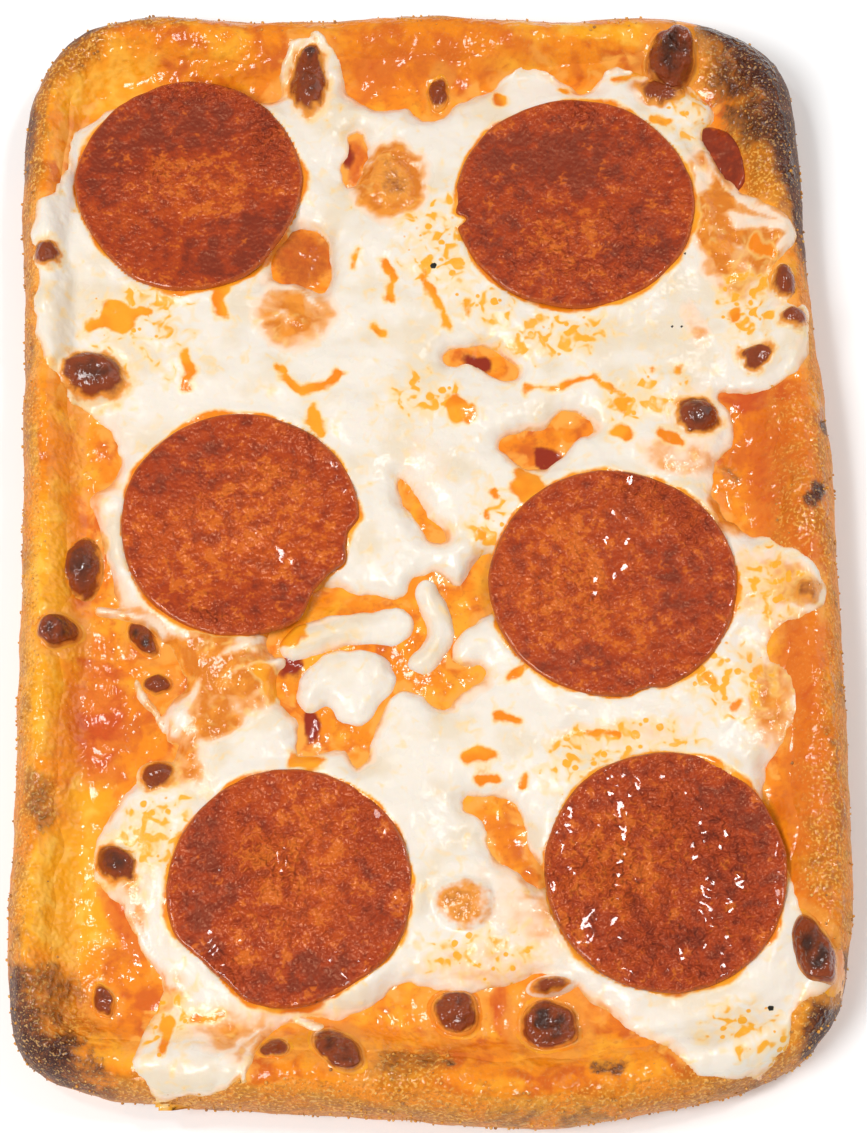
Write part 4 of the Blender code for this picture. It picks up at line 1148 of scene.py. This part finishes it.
class PIZZA_OT_blisters(bpy.types.Operator):
    """Models the bits of cheese that blew up and browned on the sauce and the rim."""

    bl_idname = "pizza.blisters"
    bl_label = "Browned bits"

    def execute(self, context):
        finish = melted_mozzarella("Mozzarella, blistered and browned")
        around, rings, buried = 56, 26, 21
        # How far out each ring is: over the dome, down the skirt, and back under from the first buried ring
        outs = np.concatenate([
            np.sin(np.linspace(0.0, math.pi / 2.0, 15)), np.linspace(1.08, 1.55, 6), np.linspace(1.5, 0.0, 5),
        ])
        for number, (name, bit) in enumerate(BLISTERS.items()):
            def shape(turn, ring):
                angle = 2.0 * np.pi * turn / around
                out = outs[ring]
                edge = out * (1.0 + unevenness(2.0 * np.cos(angle), 2.0 * np.sin(angle), (0.17, 1.9, 3.1 * number)))
                across, along = bit[2] * edge * np.cos(angle), bit[3] * edge * np.sin(angle)
                cosine, sine = math.cos(math.radians(bit[4])), math.sin(math.radians(bit[4]))
                x, y = bit[0] + across * cosine - along * sine, bit[1] + across * sine + along * cosine
                ground = ground_top(x, y)
                dome = 0.85 + unevenness(x, y, (0.22, 2.6, 71 + number), (0.08, 1.1, 90))
                dome *= bit[5] * np.sqrt(np.maximum(1.0 - out * out, 0.0))
                skirt = 0.32 * (1.0 - smoothstep(0.95, 1.35, out)) - 0.14
                brown = bit[6] * (1.0 - smoothstep(0.4, 1.4, out)) * (1.0 + unevenness(x, y, (0.2, 2.2, 91)))
                z = ground + np.where(ring >= buried, -1.2, dome + skirt)
                oil = smoothstep(0.75, 0.95, out)
                return (x, y, z), {"brown": brown, "oil": oil, "thin": 0.8, "specks": 0.0, "black": 0.0}

            made = rolled_grid("browned_" + name.split("_", 1)[1], around, rings, shape)
            keep_piece(made, [name], finish)
        return {"FINISHED"}


class PIZZA_OT_semolina(bpy.types.Operator):
    """Scatters semolina grains over the outside of the rim, as one mesh."""

    bl_idname = "pizza.semolina"
    bl_label = "Semolina"

    def execute(self, context):
        sizes = settings("dough")
        faces = bpy.data.objects["baked_dough"].data.polygons
        areas = np.empty(len(faces))
        faces.foreach_get("area", areas)
        centres, normals = read_numbers(faces, "center") / MM, read_numbers(faces, "normal")
        x, y, z = centres.T
        share = rim_share(x, y)
        wanted = (1.0 - smoothstep(0.12, 0.5, share)) * smoothstep(1.0, 3.0, z)
        wanted = np.maximum(wanted, 0.9 * marked(x, y, BROWNED) * (share < 1.0) * (z > 8.0))
        wanted *= 0.35 + np.clip(unevenness(x, y, (1, 12, 81)) + 0.4, 0.0, 1.0)
        wanted *= 1.0 - 0.6 * smoothstep(-40.0, 60.0, y) * smoothstep(40.0, 60.0, x)
        chooser = np.random.default_rng(20)
        chosen = chooser.choice(len(faces), sizes.grains, p=areas * wanted / (areas * wanted).sum())
        bpy.ops.object.select_all(action="DESELECT")
        bpy.ops.mesh.primitive_ico_sphere_add(subdivisions=1, radius=0.5)
        made = bpy.context.object
        made.name = made.data.name = "semolina_grains"
        grain = np.array([vertex.co for vertex in made.data.vertices])
        corners = np.array([face.vertices for face in made.data.polygons])
        size = sizes.grain / MM * chooser.uniform(0.35, 1.0, (len(chosen), 1, 1)) ** 1.4
        squeeze = chooser.uniform(0.6, 1.1, (len(chosen), len(grain), 3))
        turns, _ = np.linalg.qr(chooser.normal(size=(len(chosen), 3, 3)))
        points = (grain * squeeze * size) @ turns + (centres + 0.12 * normals)[chosen][:, None, :]
        points[:, :, 2] = np.maximum(points[:, :, 2], 0.05)
        low, high = np.array(CAD_BOX[0]) / MM + 0.02, np.array(CAD_BOX[1]) / MM - 0.02
        points = np.clip(points, low, high).reshape(-1, 3)
        corners = (corners + len(grain) * np.arange(len(chosen))[:, None, None]).reshape(-1, 3)
        made.data.clear_geometry()
        made.data.from_pydata((points * MM).tolist(), [], corners.tolist())
        bpy.ops.object.mode_set(mode="EDIT")
        close_mesh()
        keep_piece(made, [], toasted_semolina("Toasted semolina"))
        return {"FINISHED"}


class PIZZA_OT_stage(bpy.types.Operator):
    """Sets up the plain floor, the soft light and the camera."""

    bl_idname = "pizza.stage"
    bl_label = "Floor, light and camera"

    def execute(self, context):
        stage = settings("stage")
        bpy.ops.object.select_all(action="DESELECT")
        bpy.ops.mesh.primitive_plane_add(size=4.0, location=(0.0, 0.0, -0.0002))
        floor = bpy.context.object
        bpy.ops.object.transform_apply(location=True)
        floor.name = "floor"
        # Matte card: it shows the soft shadow and nothing else
        finish, tree, place = new_finish("Plain white card")
        fibre = add(tree, "TexNoise", {"Vector": place, "Scale": 1000 / 1.5, "Detail": 2.0})
        finish_surface(tree, stage.ground, 0.9, fibre, 0.01, {"Specular IOR Level": 0.2})
        floor.data.materials.append(finish)

        world = bpy.data.worlds.new("soft studio")
        context.scene.world = world
        world.use_nodes = True
        sky = world.node_tree.nodes["Background"].inputs
        sky["Color"].default_value, sky["Strength"].default_value = linear("#FFFFFF"), stage.sky
        aim = Vector((0.003, -0.007, 0.012))
        for name, place, size, share in (
            ("large window", (-0.40, -0.27, 0.80), 0.3, 1.0), ("far wall", (0.8, 0.5, 0.6), 0.8, 0.4),
            ("right lamp", (0.33, 0.12, 0.80), 0.09, 0.26), ("left lamp", (-0.33, 0.08, 0.80), 0.07, 0.14),
        ):
            light = bpy.data.lights.new(name, "AREA")
            light.energy, light.size = share * stage.key, size
            lamp = bpy.data.objects.new(name, light)
            context.scene.collection.objects.link(lamp)
            lamp.location = place
            lamp.rotation_euler = (aim - Vector(place)).to_track_quat("-Z", "Y").to_euler()

        camera = bpy.data.cameras.new("camera")
        camera.lens, camera.sensor_width, camera.clip_start = stage.lens, 36.0, 0.01
        holder = bpy.data.objects.new("camera", camera)
        context.scene.collection.objects.link(holder)
        holder.location = aim + stage.distance * Vector((0.0, -math.sin(stage.tilt), math.cos(stage.tilt)))
        holder.rotation_euler = (stage.tilt, 0.0, 0.0)
        context.scene.camera = holder
        context.scene.view_settings.view_transform = "Standard"
        return {"FINISHED"}


class PIZZA_PT_panel(bpy.types.Panel):
    """Lists the pieces of the pizza in the order they are made."""

    bl_idname = "PIZZA_PT_panel"
    bl_label = "Pepperoni pizza"
    bl_space_type = "VIEW_3D"
    bl_region_type = "UI"
    bl_category = "Pizza"

    def draw(self, context):
        for operator in OPERATORS:
            self.layout.operator(operator.bl_idname)
        for part in GROUPS:
            box = self.layout.box()
            box.label(text=part.capitalize())
            for name in GROUPS[part].__annotations__:
                box.prop(settings(part), name)


GROUPS = {
    "dough": PIZZA_PG_dough, "sauce": PIZZA_PG_sauce, "cheese": PIZZA_PG_cheese,
    "pepperoni": PIZZA_PG_pepperoni, "stage": PIZZA_PG_stage,
}
OPERATORS = (
    PIZZA_OT_dough, PIZZA_OT_sauce, PIZZA_OT_cheese, PIZZA_OT_shreds, PIZZA_OT_pepperoni,
    PIZZA_OT_blisters, PIZZA_OT_semolina, PIZZA_OT_stage,
)


def register():
    for made in (*GROUPS.values(), *OPERATORS, PIZZA_PT_panel):
        bpy.utils.register_class(made)
    for part, group in GROUPS.items():
        setattr(bpy.types.Scene, "pizza_" + part, bpy.props.PointerProperty(type=group))


def unregister():
    for part in GROUPS:
        delattr(bpy.types.Scene, "pizza_" + part)
    for made in reversed((*GROUPS.values(), *OPERATORS, PIZZA_PT_panel)):
        bpy.utils.unregister_class(made)


def main():
    """Makes every piece in order."""
    register()
    bpy.ops.pizza.dough()
    bpy.ops.pizza.sauce()
    bpy.ops.pizza.cheese()
    bpy.ops.pizza.shreds()
    bpy.ops.pizza.pepperoni()
    bpy.ops.pizza.blisters()
    bpy.ops.pizza.semolina()
    bpy.ops.pizza.stage()


if __name__ == "__main__":
    main()
